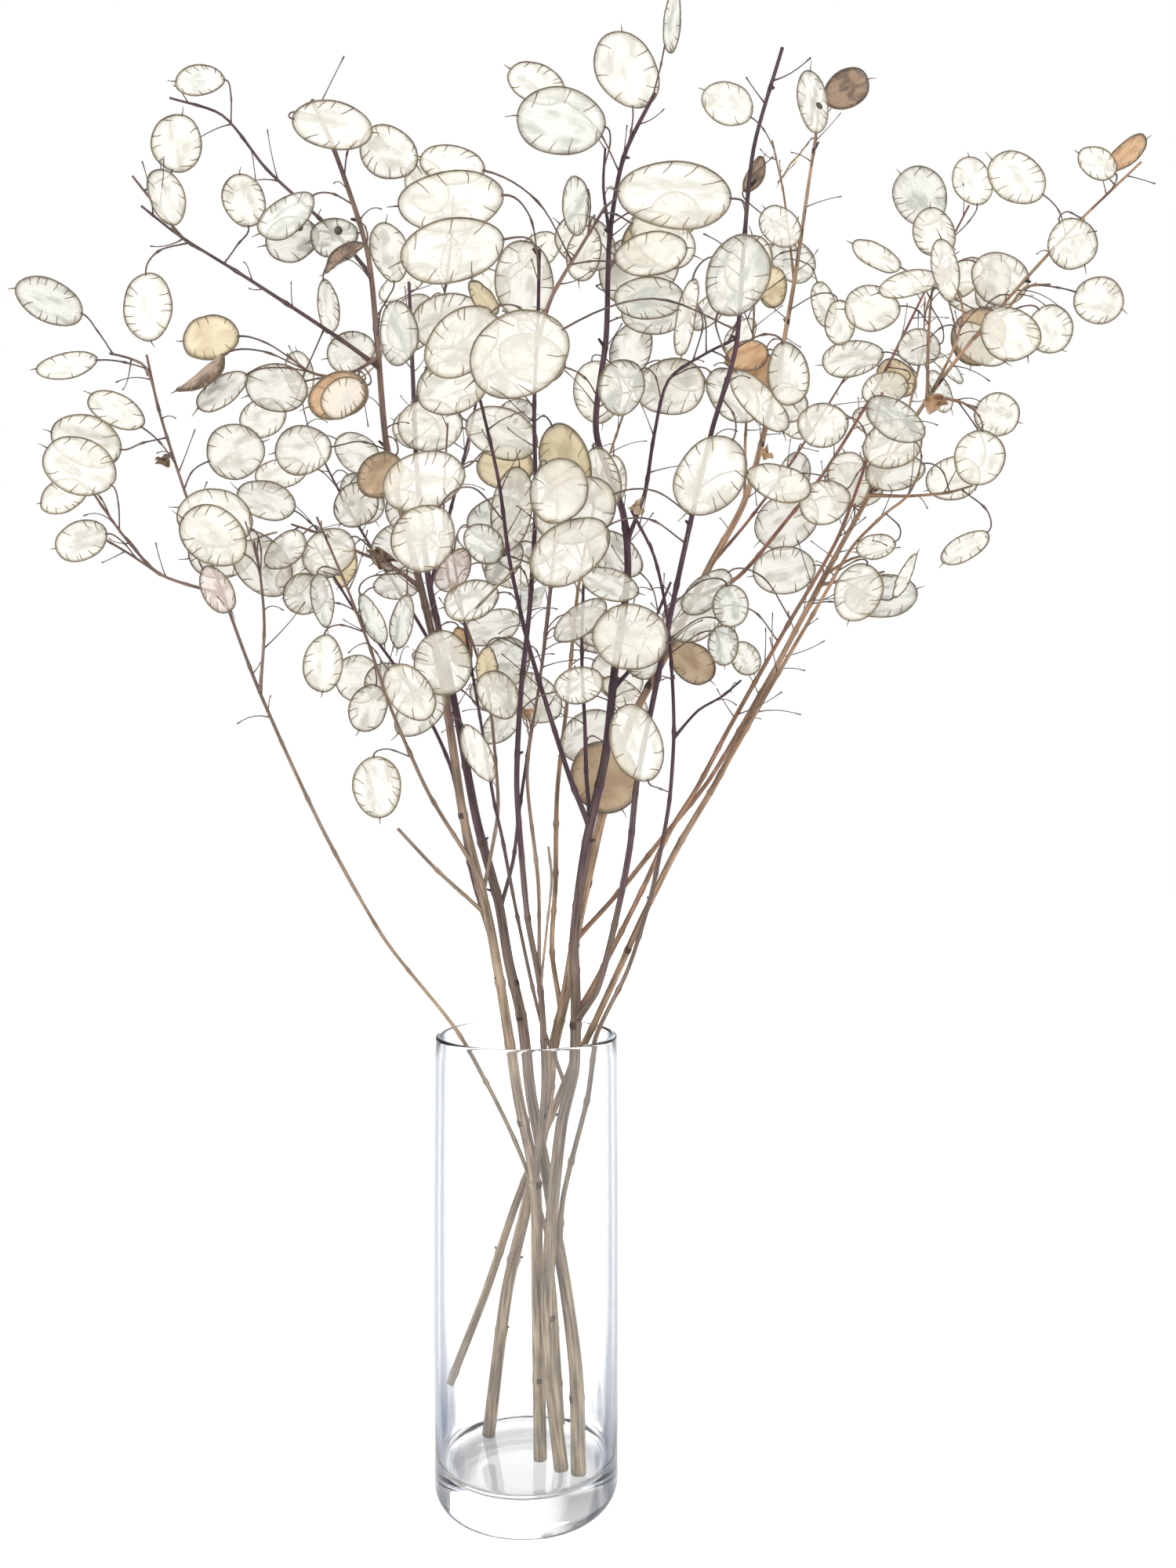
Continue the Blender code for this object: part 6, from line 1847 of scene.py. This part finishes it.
@dataclass
class Plate:
    """One pod: its plate in its own frame, with the bends that its draw gives it."""

    pod: Pod
    draw: random.Random
    base: Array = field(init=False)
    axis: Array = field(init=False)
    normal: Array = field(init=False)
    across: Array = field(init=False)
    cup: float = field(init=False)
    curl: float = field(init=False)
    wave: float = field(init=False)
    egg: float = field(init=False)
    phases: list[float] = field(init=False)
    lift: Array = field(init=False)

    def __post_init__(self) -> None:
        """Works out the plate's frame and draws its bends."""
        self.base = np.array(self.pod.stalk[-1])
        self.axis = np.array(self.pod.axis)
        self.normal = np.array(self.pod.normal)
        self.across = np.cross(self.normal, self.axis)
        fold = BROWN_FOLD if self.pod.tone is Tone.BROWN else PLAIN_FOLD
        husk = self.pod.tone in HUSKS
        self.cup = self.draw.uniform(-0.0006, 0.0006)
        self.curl = fold * self.draw.choice((-1, 1)) * self.draw.uniform(0.3, 1.0)
        self.wave = self.draw.uniform(0.0003, 0.0008) * (2 if husk else 1)
        self.egg = self.draw.uniform(-0.07, 0.10)
        self.phases = [self.draw.uniform(0, math.tau) for _ in range(6)]
        self.lift = self.height(np.array(-1.0), np.array(0.0))

    def height(self, along: Array, across: Array) -> Array:
        """The plate's height over its own plane, at places from -1 to 1 along and across.

        Args:
            along: The places along.
            across: The places across.

        Returns:
            The heights.
        """
        a, b, c, d = self.phases[:4]
        bend = self.cup * (along**2 + across**2) + self.curl * across**2
        wave = np.sin(2.3 * along + a) * np.cos(1.9 * across + b)
        ripple = np.sin(6.1 * along + c) * np.sin(5.3 * across + d) * 0.35
        return bend + self.wave * (wave + ripple)

    def outline(self, count: int) -> tuple[Array, Array]:
        """The outline's places along and across, from -1 to 1, from the base round.

        Args:
            count: The number of corners.

        Returns:
            The places along and the places across.
        """
        angle = np.arange(count) / count * math.tau
        e, f = self.phases[4:]
        wobble = 1 + 0.012 * np.sin(3 * angle + e) + 0.008 * np.sin(5 * angle + f)
        wobble[0] = 1.0
        along = -np.cos(angle) * wobble
        across = np.sin(angle) * (1 + self.egg * -np.cos(angle)) * wobble
        return along, across

    def surface(self, along: Array, across: Array, side: float = 0.0) -> Array:
        """Points of the plate, raised to one side by an amount.

        Args:
            along: The places along, from -1 to 1.
            across: The places across.
            side: How far they are raised.

        Returns:
            The points.
        """
        x = (np.asarray(along) + 1) * self.pod.length / 2
        y = np.asarray(across) * self.pod.width / 2
        z = self.height(np.asarray(along), np.asarray(across)) - self.lift + side
        flat = self.base + x[..., None] * self.axis + y[..., None] * self.across
        return flat + z[..., None] * self.normal

    def add_tissue(self, draft: Draft, number: int, wears: int) -> None:
        """Adds the thin tissue, closed round its edge.

        Args:
            draft: The mesh to add to.
            number: The pod's number, which moves its place in the texture.
            wears: The finish of the faces.
        """
        edge_along, edge_across = self.outline(PLATE_CORNERS)
        shares = np.linspace(0, 1, PLATE_RINGS + 1)[1:]
        along = np.concatenate([[0.0], (shares[:, None] * edge_along).ravel()])
        across = np.concatenate([[0.0], (shares[:, None] * edge_across).ravel()])
        share = np.concatenate([[0.0], np.repeat(shares, PLATE_CORNERS)])
        thick = TISSUE_HALF * (1 - share**4)
        top = self.surface(along, across, thick)
        low = self.surface(along, across, -thick)[:-PLATE_CORNERS]
        n = PLATE_CORNERS
        ring = 1 + np.arange(n)
        fan = np.stack([np.zeros(n, int), ring, np.roll(ring, -1)], -1)
        a = 1 + np.arange((PLATE_RINGS - 1) * n).reshape(-1, n)
        b = np.roll(a, -1, axis=1)
        quads = np.stack([a, a + n, b + n, b], -1).reshape(-1, 4)
        places = np.stack([along, across], -1) * 0.49 + 0.5 + (number % 40, number // 40)
        under = np.arange(len(top))
        under[:-n] += len(top)
        parts = (fan[:, ::-1], quads[:, ::-1], under[fan], under[quads])
        draft.add(
            np.concatenate([top, low]),
            *((faces, places[faces % len(top)], wears) for faces in parts),
        )

    def add_rim(self, draft: Draft, wears: int) -> None:
        """Adds the firm rim, and the spike at the tip.

        Args:
            draft: The mesh of the wood.
            wears: The finish of the rim.
        """
        along, across = self.outline(RIM_CORNERS)
        points = self.surface(along, across)
        outward = unit(along[:, None] * self.axis + across[:, None] * self.across)
        swell = 1 + 0.25 * np.sin(np.arange(RIM_CORNERS) * 1.7 + self.phases[0]) ** 2
        draft.hoop(points, outward, self.normal, RIM_RADIUS_OF_POD * swell, 5, wears)
        tip = self.surface(np.array(1.0), np.array(0.0))
        yaw = self.draw.uniform(-0.4, 0.4)
        lead = unit(self.axis + self.across * yaw + self.normal * self.draw.uniform(-0.2, 0.2))
        reach = self.draw.uniform(*BEAK_LIMITS) * self.pod.length / 0.042
        steps = np.array([-0.0006, 0.25 * reach, 0.6 * reach, reach])
        bend = self.across * self.draw.uniform(-0.0012, 0.0012)
        spike = tip + steps[:, None] * lead + (steps[:, None] / reach) ** 2 * bend
        draft.tube(spike, np.array(SPIKE_RADII), 5, wears)

    def add_threads(self, draft: Draft, seeds: Draft, wears: int) -> None:
        """Adds the short threads that held the seeds, and now and then a seed.

        Args:
            draft: The mesh of the threads.
            seeds: The mesh of the seeds.
            wears: The finish of the threads.
        """
        left = int(self.pod.tone is Tone.SEEDED)
        slant = self.draw.choice((-1, 1)) * self.draw.uniform(0.15, 0.55)
        for way in (-1, 1):
            count = self.draw.randint(3, 6)
            for number in range(count):
                angle = way * (0.5 + (number + self.draw.uniform(0.1, 0.9)) / count * 2.0)
                start = np.array([-math.cos(angle), math.sin(angle)])
                inward = unit(-start * (0.45, 1.0) + (slant * way + self.draw.gauss(0, 0.1), 0.0))
                reach = self.draw.uniform(0.3, 0.5)
                line = start * 0.985 + np.outer((0, 0.5, 1), inward * reach)
                line[1] += np.array([-inward[1], inward[0]]) * self.draw.uniform(-0.03, 0.03)
                points = self.surface(line[:, 0], line[:, 1])
                draft.tube(points, np.array(THREAD_RADII), 4, wears)
                if left and abs(angle) > 1.2:
                    left -= 1
                    self.add_seed(seeds, line[-1], inward)

    def add_seed(self, seeds: Draft, spot: Array, lead: Array) -> None:
        """Adds a flat seed at the end of a thread.

        Args:
            seeds: The mesh of the seeds.
            spot: The thread's end on the plate.
            lead: The way that the thread points.
        """
        rings = np.linspace(0, math.pi, SEED_RINGS)
        middle = self.surface(*(spot + lead * 0.12))
        way = unit(self.axis * lead[0] + self.across * lead[1])
        points = middle + np.outer(-np.cos(rings) * SEED_SIZE[0], way)
        side = np.cross(self.normal, way)
        out, up = circle(SEED_SIDES).T
        spokes = np.outer(out * SEED_SIZE[1], side) + np.outer(up * SEED_SIZE[2], self.normal)
        corners = points[:, None] + np.sin(rings)[:, None, None] * spokes
        faces = band_faces(SEED_RINGS, SEED_SIDES)
        seeds.add(corners.reshape(-1, 3), (faces, np.full((len(faces), 4, 2), 0.5), 0))


def ways_off(growth: Array, spin: float) -> tuple[Array, Array]:
    """Two ways square to a line: one turned round it, and the second of its frame.

    Args:
        growth: The line's direction.
        spin: How far the first way is turned.

    Returns:
        The two ways.
    """
    side, across = frame_of(Vector(growth), Vector((1, 0, 0)))
    return np.array(side * math.cos(spin) + across * math.sin(spin)), np.array(across)


@dataclass
class HonestyStem:
    """One dried stem: its wood, with stalks and pods."""

    name: str
    routes: dict[str, Route]
    pods: list[Pod]
    barks: dict[Wood, Material]
    tissues: dict[Tone, Material]
    seed_finish: Material
    draw: random.Random
    lines: dict[str, Array] = field(default_factory=dict)

    def line_of(self, route: Route) -> Array:
        """The smooth line of a strand, which starts on its parent's line.

        Args:
            route: The strand's route.

        Returns:
            The line's points.
        """
        knots = array_of(route.points)
        if route.parent:
            knots[0] = drawn_to(self.lines[route.parent.name], knots[0])
        return smooth_line(knots, LINE_STEP)

    def nearest_wood(self, target: Array) -> Array:
        """The point of the stem's lines that lies nearest to a place.

        Args:
            target: The place.

        Returns:
            The point.
        """
        spots = (drawn_to(line, target) for line in self.lines.values())
        return min(spots, key=lambda spot: np.linalg.norm(spot - target))

    def with_stations(self, line: Array, nodes: list[float]) -> tuple[Array, Array]:
        """A line with extra points round each of its nodes.

        Args:
            line: The strand's line.
            nodes: The distances of the nodes along it.

        Returns:
            The distances and the points.
        """
        along = lengths_along(line)
        extra = [node + step for node in nodes for step in NODE_STATIONS]
        inside = [spot for spot in extra if END_MARGIN < spot < along[-1] - END_MARGIN]
        stations = np.unique(np.round(np.concatenate([along, inside]), 5))
        points = np.stack([np.interp(stations, along, line[:, k]) for k in range(3)], axis=1)
        return stations, points

    def add_strand(self, draft: Draft, route: Route) -> None:
        """Adds a stem or branch, with its nodes, ridges, scars and flared root.

        Args:
            draft: The mesh of the wood.
            route: The strand's route.
        """
        line = self.line_of(route)
        self.lines[route.name] = line
        main = route.parent is None
        length = lengths_along(line)[-1]
        heights = NODE_HEIGHTS.get(self.name, ()) if main else ()
        nodes = [float(np.interp(height, line[:, 2], lengths_along(line))) for height in heights]
        spot = (nodes[-1] if nodes else 0.0) + self.draw.uniform(0.02, 0.05)
        while spot < length:
            nodes.append(spot)
            spot += self.draw.uniform(*NODE_SPACINGS[main])
        stations, points = self.with_stations(line, nodes)
        radii = np.interp(stations / length, np.linspace(0, 1, len(route.radii)), route.radii)
        thick = bool(radii.max() > THICK_STEM)
        sides = THICK_SIDES if thick else THIN_SIDES
        swell = np.ones(len(stations))
        for node in nodes:
            height = self.draw.uniform(*NODE_SWELLS[thick])
            swell += height * np.exp(-(((stations - node) / NODE_WIDTH) ** 2))
        if not main:
            swell += ROOT_FLARE * np.exp(-stations / ROOT_FLARE_LENGTH)
        angle = np.arange(sides) / sides * math.tau
        drift = stations[:, None] * RIDGE_TURN + self.draw.uniform(0, 6)
        ridge = 0.045 * np.sin(5 * angle + drift) + 0.03 * np.sin(3 * angle - drift * 0.7)
        shape = (radii * swell)[:, None] * (1 + (ridge if thick else ridge * THIN_RIDGES))
        bark = WOOD_ORDER.index(wood_of(self.name, route.name))
        wears = np.full((len(stations) - 1, sides), bark)
        scar = WOOD_ORDER.index(Wood.SCAR)
        for node in nodes:
            if not thick or self.draw.random() < PLAIN_NODES:
                continue
            band = np.abs(stations[:-1] - node + SCAR_DROP) < SCAR_HALF
            first = self.draw.randrange(sides)
            sector = (np.arange(sides) - first) % sides < self.draw.randint(2, 4)
            wears[np.outer(band, sector)] = scar
            self.add_spur(draft, line, node, radii)
        draft.tube(points, shape, sides, wears)

    def add_spur(self, draft: Draft, line: Array, node: float, radii: Array) -> None:
        """Adds the short stub of a shed side shoot at a node.

        Args:
            draft: The mesh of the wood.
            line: The strand's line.
            node: The node's distance along it.
            radii: The strand's radii.
        """
        if self.draw.random() < NODES_WITHOUT_SPUR:
            return
        root, growth = place_on(line, node)
        out, _ = ways_off(growth, self.draw.uniform(0, math.tau))
        lead = unit(out + growth * self.draw.uniform(0.4, 1.2))
        reach = float(radii.max()) * 0.8 + self.draw.uniform(0.001, 0.0042)
        steps = np.array([0.0, reach * 0.6, reach])
        points = root + steps[:, None] * lead
        draft.tube(points, np.array(SPUR_RADII), 6, WOOD_ORDER.index(Wood.SCAR))

    def add_stalk(self, draft: Draft, pod: Pod) -> None:
        """Adds a pod's bent stalk, with the small knot at half its length.

        Args:
            draft: The mesh of the wood.
            pod: The pod.
        """
        root, middle, base = array_of(pod.stalk)
        nearest = self.nearest_wood(root)
        axis = np.array(pod.axis)
        start, end = middle - nearest, axis * np.linalg.norm(base - middle)
        turn = (base - nearest) / 2
        shares = np.arange(STALK_STEPS) / STALK_STEPS
        first = bend_between(nearest, middle, start, turn, shares)
        second = bend_between(middle, base, turn, end, shares)
        points = np.vstack([first, second, base, base + axis * STALK_SINK])
        share = lengths_along(points) / lengths_along(points)[-1]
        knot = self.draw.uniform(0.42, 0.58)
        knobs = 0.85 * np.exp(-(((share - knot) / 0.035) ** 2)) + 0.5 * np.exp(-(share / 0.05))
        radii = STALK_RADIUS * (1 + knobs + 0.35 * share**6)
        draft.tube(points, radii, 6, WOOD_ORDER.index(Wood.STALK))

    def add_bare_stalks(self, draft: Draft) -> None:
        """Adds the thin stalks that have shed their pods, with the scar at their tip.

        Args:
            draft: The mesh of the wood.
        """
        for name, line in self.lines.items():
            length = lengths_along(line)[-1]
            first = 0.55 if name == "main" else 0.25
            count = round(length * (1 - first) / BARE_STALK_EVERY)
            for number in range(count):
                at = length * (first + (1 - first) * (number + self.draw.random()) / count)
                root, growth = place_on(line, min(at, length - 0.0005))
                if root[2] < LOWEST_BARE_STALK:
                    continue
                spin = number * TURN_OF_NEXT + self.draw.gauss(0, 0.5)
                out, across = ways_off(growth, spin)
                reach = self.draw.uniform(*BARE_STALK_LIMITS)
                t = np.linspace(0, 1, len(BARE_STALK_RADII))[:, None]
                rise = self.draw.uniform(0.35, 1.1)
                points = root + (out * t + growth * rise * t) * reach
                points[:, 2] += (t[:, 0] ** 2) * reach * self.draw.uniform(-0.7, 0.5)
                sway = reach * self.draw.uniform(-0.22, 0.22)
                points += np.sin(t * 2.6) * across * sway
                radii = np.array(BARE_STALK_RADII)
                draft.tube(points, radii, 5, WOOD_ORDER.index(Wood.STALK))

    def build(self) -> None:
        """Builds the stem's pieces."""
        wood = Draft([self.barks[kind] for kind in WOOD_ORDER])
        paper = Draft([self.tissues[tone] for tone in TONE_ORDER])
        husks = Draft([self.tissues[tone] for tone in TONE_ORDER])
        seeds = Draft([self.seed_finish])
        for route in self.routes.values():
            self.add_strand(wood, route)
        for number, pod in enumerate(self.pods):
            plate = Plate(pod, random.Random(SEED_OF_PLATES + number))
            self.add_stalk(wood, pod)
            plate.add_rim(wood, WOOD_ORDER.index(Wood.RIM))
            plate.add_threads(wood, seeds, WOOD_ORDER.index(Wood.THREAD))
            sheet = husks if pod.tone in HUSKS else paper
            plate.add_tissue(sheet, number, TONE_ORDER.index(pod.tone))
        self.add_bare_stalks(wood)
        for crumb in CRUMBS:
            if crumb.stem == self.name:
                self.add_crumb(husks, crumb)
        wood.build(self.name + "_wood", self.name, "dried_stem")
        paper.build(self.name + "_pods", self.name, "pod_membrane")
        if husks.faces:
            husks.build(self.name + "_husks", self.name, "pod_husk")
        if seeds.faces:
            seeds.build(self.name + "_seeds", self.name, "seed")

    def add_crumb(self, draft: Draft, crumb: Crumb) -> None:
        """Adds a withered scrap of leaf, crumpled where it clings to the stem.

        Args:
            draft: The mesh of the husks.
            crumb: The scrap.
        """
        target = np.array(crumb.centre)
        spot = self.nearest_wood(target)
        reach = min(1.0, CRUMB_REACH / max(np.linalg.norm(target - spot), 1e-9))
        centre = spot + (target - spot) * reach
        u, v = np.meshgrid(*(np.linspace(-1, 1, count) for count in CRUMB_GRID), indexing="ij")
        a, b, c, d = (self.draw.uniform(0, math.tau) for _ in range(4))
        x = u * (1 - 0.35 * v**2) + 0.25 * np.sin(4 * v + a)
        y = v * (1 - 0.55 * u**2) * 0.7 + 0.2 * np.sin(3.4 * u + b)
        z = 0.35 * np.sin(4.5 * u + c) * np.cos(3.8 * v + d) + 0.35 * u * v + 0.3 * u**2
        lead = unit(np.array([math.cos(a), 0.4, math.sin(a)]))
        side = unit(np.cross(lead, (0.2, 1.0, 0.3)))
        up = np.cross(lead, side)
        crumpled = x[..., None] * lead + y[..., None] * side + z[..., None] * up
        grid = centre + crumpled * crumb.size / 2
        sheet = np.concatenate([grid.reshape(-1, 3), (grid + up * CRUMB_THICKNESS).reshape(-1, 3)])
        faces = sheet_faces(*CRUMB_GRID)
        places = np.tile(np.stack([u, v], -1).reshape(-1, 2) * 0.49 + 0.5, (2, 1))
        draft.add(sheet, (faces, places[faces], TONE_ORDER.index(crumb.tone)))


def sheet_faces(rows: int, columns: int) -> Array:
    """The faces of a thin closed sheet made of two grids of corners.

    Args:
        rows: The rows of corners in each grid.
        columns: The corners in each row.

    Returns:
        One face a row, as indices into the corners of both grids.
    """
    index = np.arange(rows * columns).reshape(rows, columns)
    low = np.stack([index[:-1, :-1], index[:-1, 1:], index[1:, 1:], index[1:, :-1]], axis=-1)
    low = low.reshape(-1, 4)
    top = low[:, ::-1] + rows * columns
    edge = np.concatenate([index[0, :-1], index[:-1, -1], index[-1, :0:-1], index[:0:-1, 0]])
    after = np.roll(edge, -1)
    band = np.stack([after, edge, edge + rows * columns, after + rows * columns], -1)
    return np.concatenate([low, top, band])


@dataclass
class GlassVase:
    """The clear cylinder vase, turned from its section."""

    finish: ClearGlass
    steps: int = 144

    def section(self) -> list[tuple[float, float]]:
        """The section from the middle of the floor, over the rim, to the middle of the foot.

        Returns:
            Radius and height of each point.
        """
        inner = RIM_RADIUS - WALL
        rim = WALL / 2
        corner = (inner - INNER_CORNER, FLOOR_HEIGHT + INNER_CORNER)
        section = [
            (share * corner[0], FLOOR_HEIGHT + FLOOR_RISE * (1 - share**2))
            for share in (0.0, 0.3, 0.6, 0.85)
        ]
        section += arc_points(corner, INNER_CORNER, -90, 0, 12)
        for share in np.linspace(0.1, 0.95, 12):
            height = corner[1] + (VASE_HEIGHT - rim - corner[1]) * share
            section.append((inner + BULGE * math.sin(math.pi * height / VASE_HEIGHT) * 0.8, height))
        section += arc_points((RIM_RADIUS - rim, VASE_HEIGHT - rim), rim, 180, 0, 16)
        for share in np.linspace(0.95, 0.08, 14):
            height = HEEL_ROUND + (VASE_HEIGHT - rim - HEEL_ROUND) * share
            bulge = BULGE * math.sin(math.pi * height / VASE_HEIGHT)
            section.append((VASE_RADIUS - BULGE + bulge, height))
        heel = (VASE_RADIUS - HEEL_INSET - HEEL_ROUND, HEEL_ROUND)
        section += arc_points(heel, HEEL_ROUND, 0, -90, 14)
        section += [(heel[0] * share, FOOT_HOLLOW * (1 - share)) for share in (0.95, 0.6, 0.3, 0.0)]
        return section

    def build(self) -> Object:
        """Builds the vase.

        Returns:
            The vase.
        """
        section = np.array(self.section())
        wall = section[1:-1]
        turned = np.empty((len(wall), self.steps, 3))
        turned[..., :2] = wall[:, None, :1] * circle(self.steps)
        turned[..., 2] = wall[:, 1:]
        ends = [(0, 0, section[0, 1]), (0, 0, section[-1, 1])]
        first = np.arange(self.steps)
        after = np.roll(first, -1)
        last = (len(wall) - 1) * self.steps
        middle = np.full(self.steps, len(wall) * self.steps)
        floor = np.stack([first, after, middle], -1)
        foot = np.stack([last + after, last + first, middle + 1], -1)
        parts = (band_faces(len(wall), self.steps)[:, ::-1], floor, foot)
        draft = Draft([self.finish.build()])
        draft.add(
            np.concatenate([turned.reshape(-1, 3), ends]),
            *((faces, np.zeros((*faces.shape, 2)), 0) for faces in parts),
        )
        return draft.build("vase_glass", "vase", "vase_glass")


@dataclass
class Studio:
    """The pale floor, the soft light and the camera."""

    floor_size: float = 14.0
    floor_colour: Colour = (0.93, 0.93, 0.93)

    def add_floor(self) -> None:
        """Adds the plain pale floor, which reads as white as the surround."""
        mesh = bpy.data.meshes.new("floor")
        half = self.floor_size / 2
        corners = [(-half, -half, 0), (half, -half, 0), (half, half, 0), (-half, half, 0)]
        mesh.from_pydata(corners, [], [(0, 1, 2, 3)])
        floor = bpy.data.objects.new("floor", mesh)
        floor.location.z = -0.0002
        bpy.context.scene.collection.objects.link(floor)
        material, graph, shader = new_material("pale_floor")
        seen = graph.add("LightPath").outputs["Is Camera Ray"]
        finish = {
            "Base Color": rgba(self.floor_colour),
            "Roughness": 0.9,
            "Specular IOR Level": 0.1,
            "Emission Color": (1, 1, 1, 1),
            "Emission Strength": graph.ramp(seen, 0.0, 1.0, FLOOR_GLOW),
        }
        graph.fill(shader, finish)
        mesh.materials.append(material)
        floor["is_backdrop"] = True

    def add_light(self, name: str, place: tuple, size: float, power: float) -> None:
        """Adds a soft square light that faces the object.

        Args:
            name: The light's name.
            place: Where it stands.
            size: Its side.
            power: Its power in watts.
        """
        data = bpy.data.lights.new(name, "AREA")
        data.size = size
        data.energy = power
        light = bpy.data.objects.new(name, data)
        light.location = place
        aim = Vector((0.04, 0, 0.55)) - Vector(place)
        light.rotation_euler = aim.to_track_quat("-Z", "Y").to_euler()
        bpy.context.scene.collection.objects.link(light)

    def add_world(self) -> None:
        """Adds a white surround whose dark bands draw the edges of the glass."""
        world = bpy.data.worlds.new("studio")
        bpy.context.scene.world = world
        world.use_nodes = True
        graph = Graph(world.node_tree)
        shader = world.node_tree.nodes["Background"]
        way = graph.add("TexCoord").outputs["Generated"]
        split = graph.add("SeparateXYZ", {0: way})
        x, y = (graph.math("POWER", split.outputs[axis], 2.0) for axis in "XY")
        turn = graph.math("DIVIDE", graph.math("SUBTRACT", x, y), graph.math("ADD", x, y))
        turn = graph.math("POWER", graph.math("ABSOLUTE", turn), 2.0)
        bands = graph.ramp(turn, 0.3, 0.85, SURROUND)
        above = graph.ramp(split.outputs["Z"], 0.3, 0.7)
        level = graph.math("MAXIMUM", bands, above)
        seen = graph.add("LightPath").outputs["Is Camera Ray"]
        level = graph.math("MAXIMUM", level, seen)
        graph.fill(shader, {"Strength": level, "Color": (1.0, 1.0, 1.0, 1.0)})

    def add_camera(self) -> None:
        """Adds the camera at the photo's place, level and square to the vase."""
        data = bpy.data.cameras.new("camera")
        data.sensor_width = 36
        data.lens = 36 * FOCAL_PIXELS / FRAME_HEIGHT
        data.shift_y = (HORIZON_PIXEL - FRAME_HEIGHT / 2) / FRAME_HEIGHT
        data.clip_start = 0.01
        camera = bpy.data.objects.new("camera", data)
        camera.location = SEEN_FROM
        camera.rotation_euler = (math.radians(90), 0, 0)
        bpy.context.scene.collection.objects.link(camera)
        bpy.context.scene.camera = camera

    def build(self) -> None:
        """Builds the studio."""
        self.add_floor()
        self.add_world()
        self.add_light("key_light", (-1.6, -1.6, 2.2), 1.8, KEY_POWER)
        self.add_light("fill_light", (1.9, -1.2, 1.3), 2.0, FILL_POWER)
        self.add_light("back_light", (0.6, 2.2, 1.9), 2.4, BACK_POWER)
        self.add_camera()
        bpy.context.scene.view_settings.view_transform = "Standard"


def wood_of(stem: str, strand: str) -> Wood:
    """The bark that a strand has."""
    return STRAND_WOODS.get(stem, {}).get(strand, STEM_WOODS[stem])


def main() -> None:
    """Builds the vase, the stems and the studio, in that order."""
    logging.basicConfig(level=logging.INFO, format="%(message)s")
    GlassVase(ClearGlass()).build()
    routes = route_stems()
    pods = hang_pods(routes)
    LOG.info("%d strands, %d pods", len(routes), len(pods))
    bark = bark_group()
    tissue = membrane_group()
    barks = {kind: finish.build(bark) for kind, finish in BARKS.items()}
    tissues = {tone: finish.build(tissue) for tone, finish in TISSUES.items()}
    seed = SEED_TISSUE.build(tissue)
    draw = random.Random(SEED_OF_WOOD)
    for stem in STEMS:
        own = {name: route for (owner, name), route in routes.items() if owner == stem}
        hung = [pod for pod in pods if pod.stem == stem]
        HonestyStem(stem, own, hung, barks, tissues, seed, draw).build()
    Studio().build()
    boxes = {"cad": CAD_BOX, "visual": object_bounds()}
    {key: [list(corner) for corner in box] for key, box in boxes.items()}


if __name__ == "__main__":
    main()
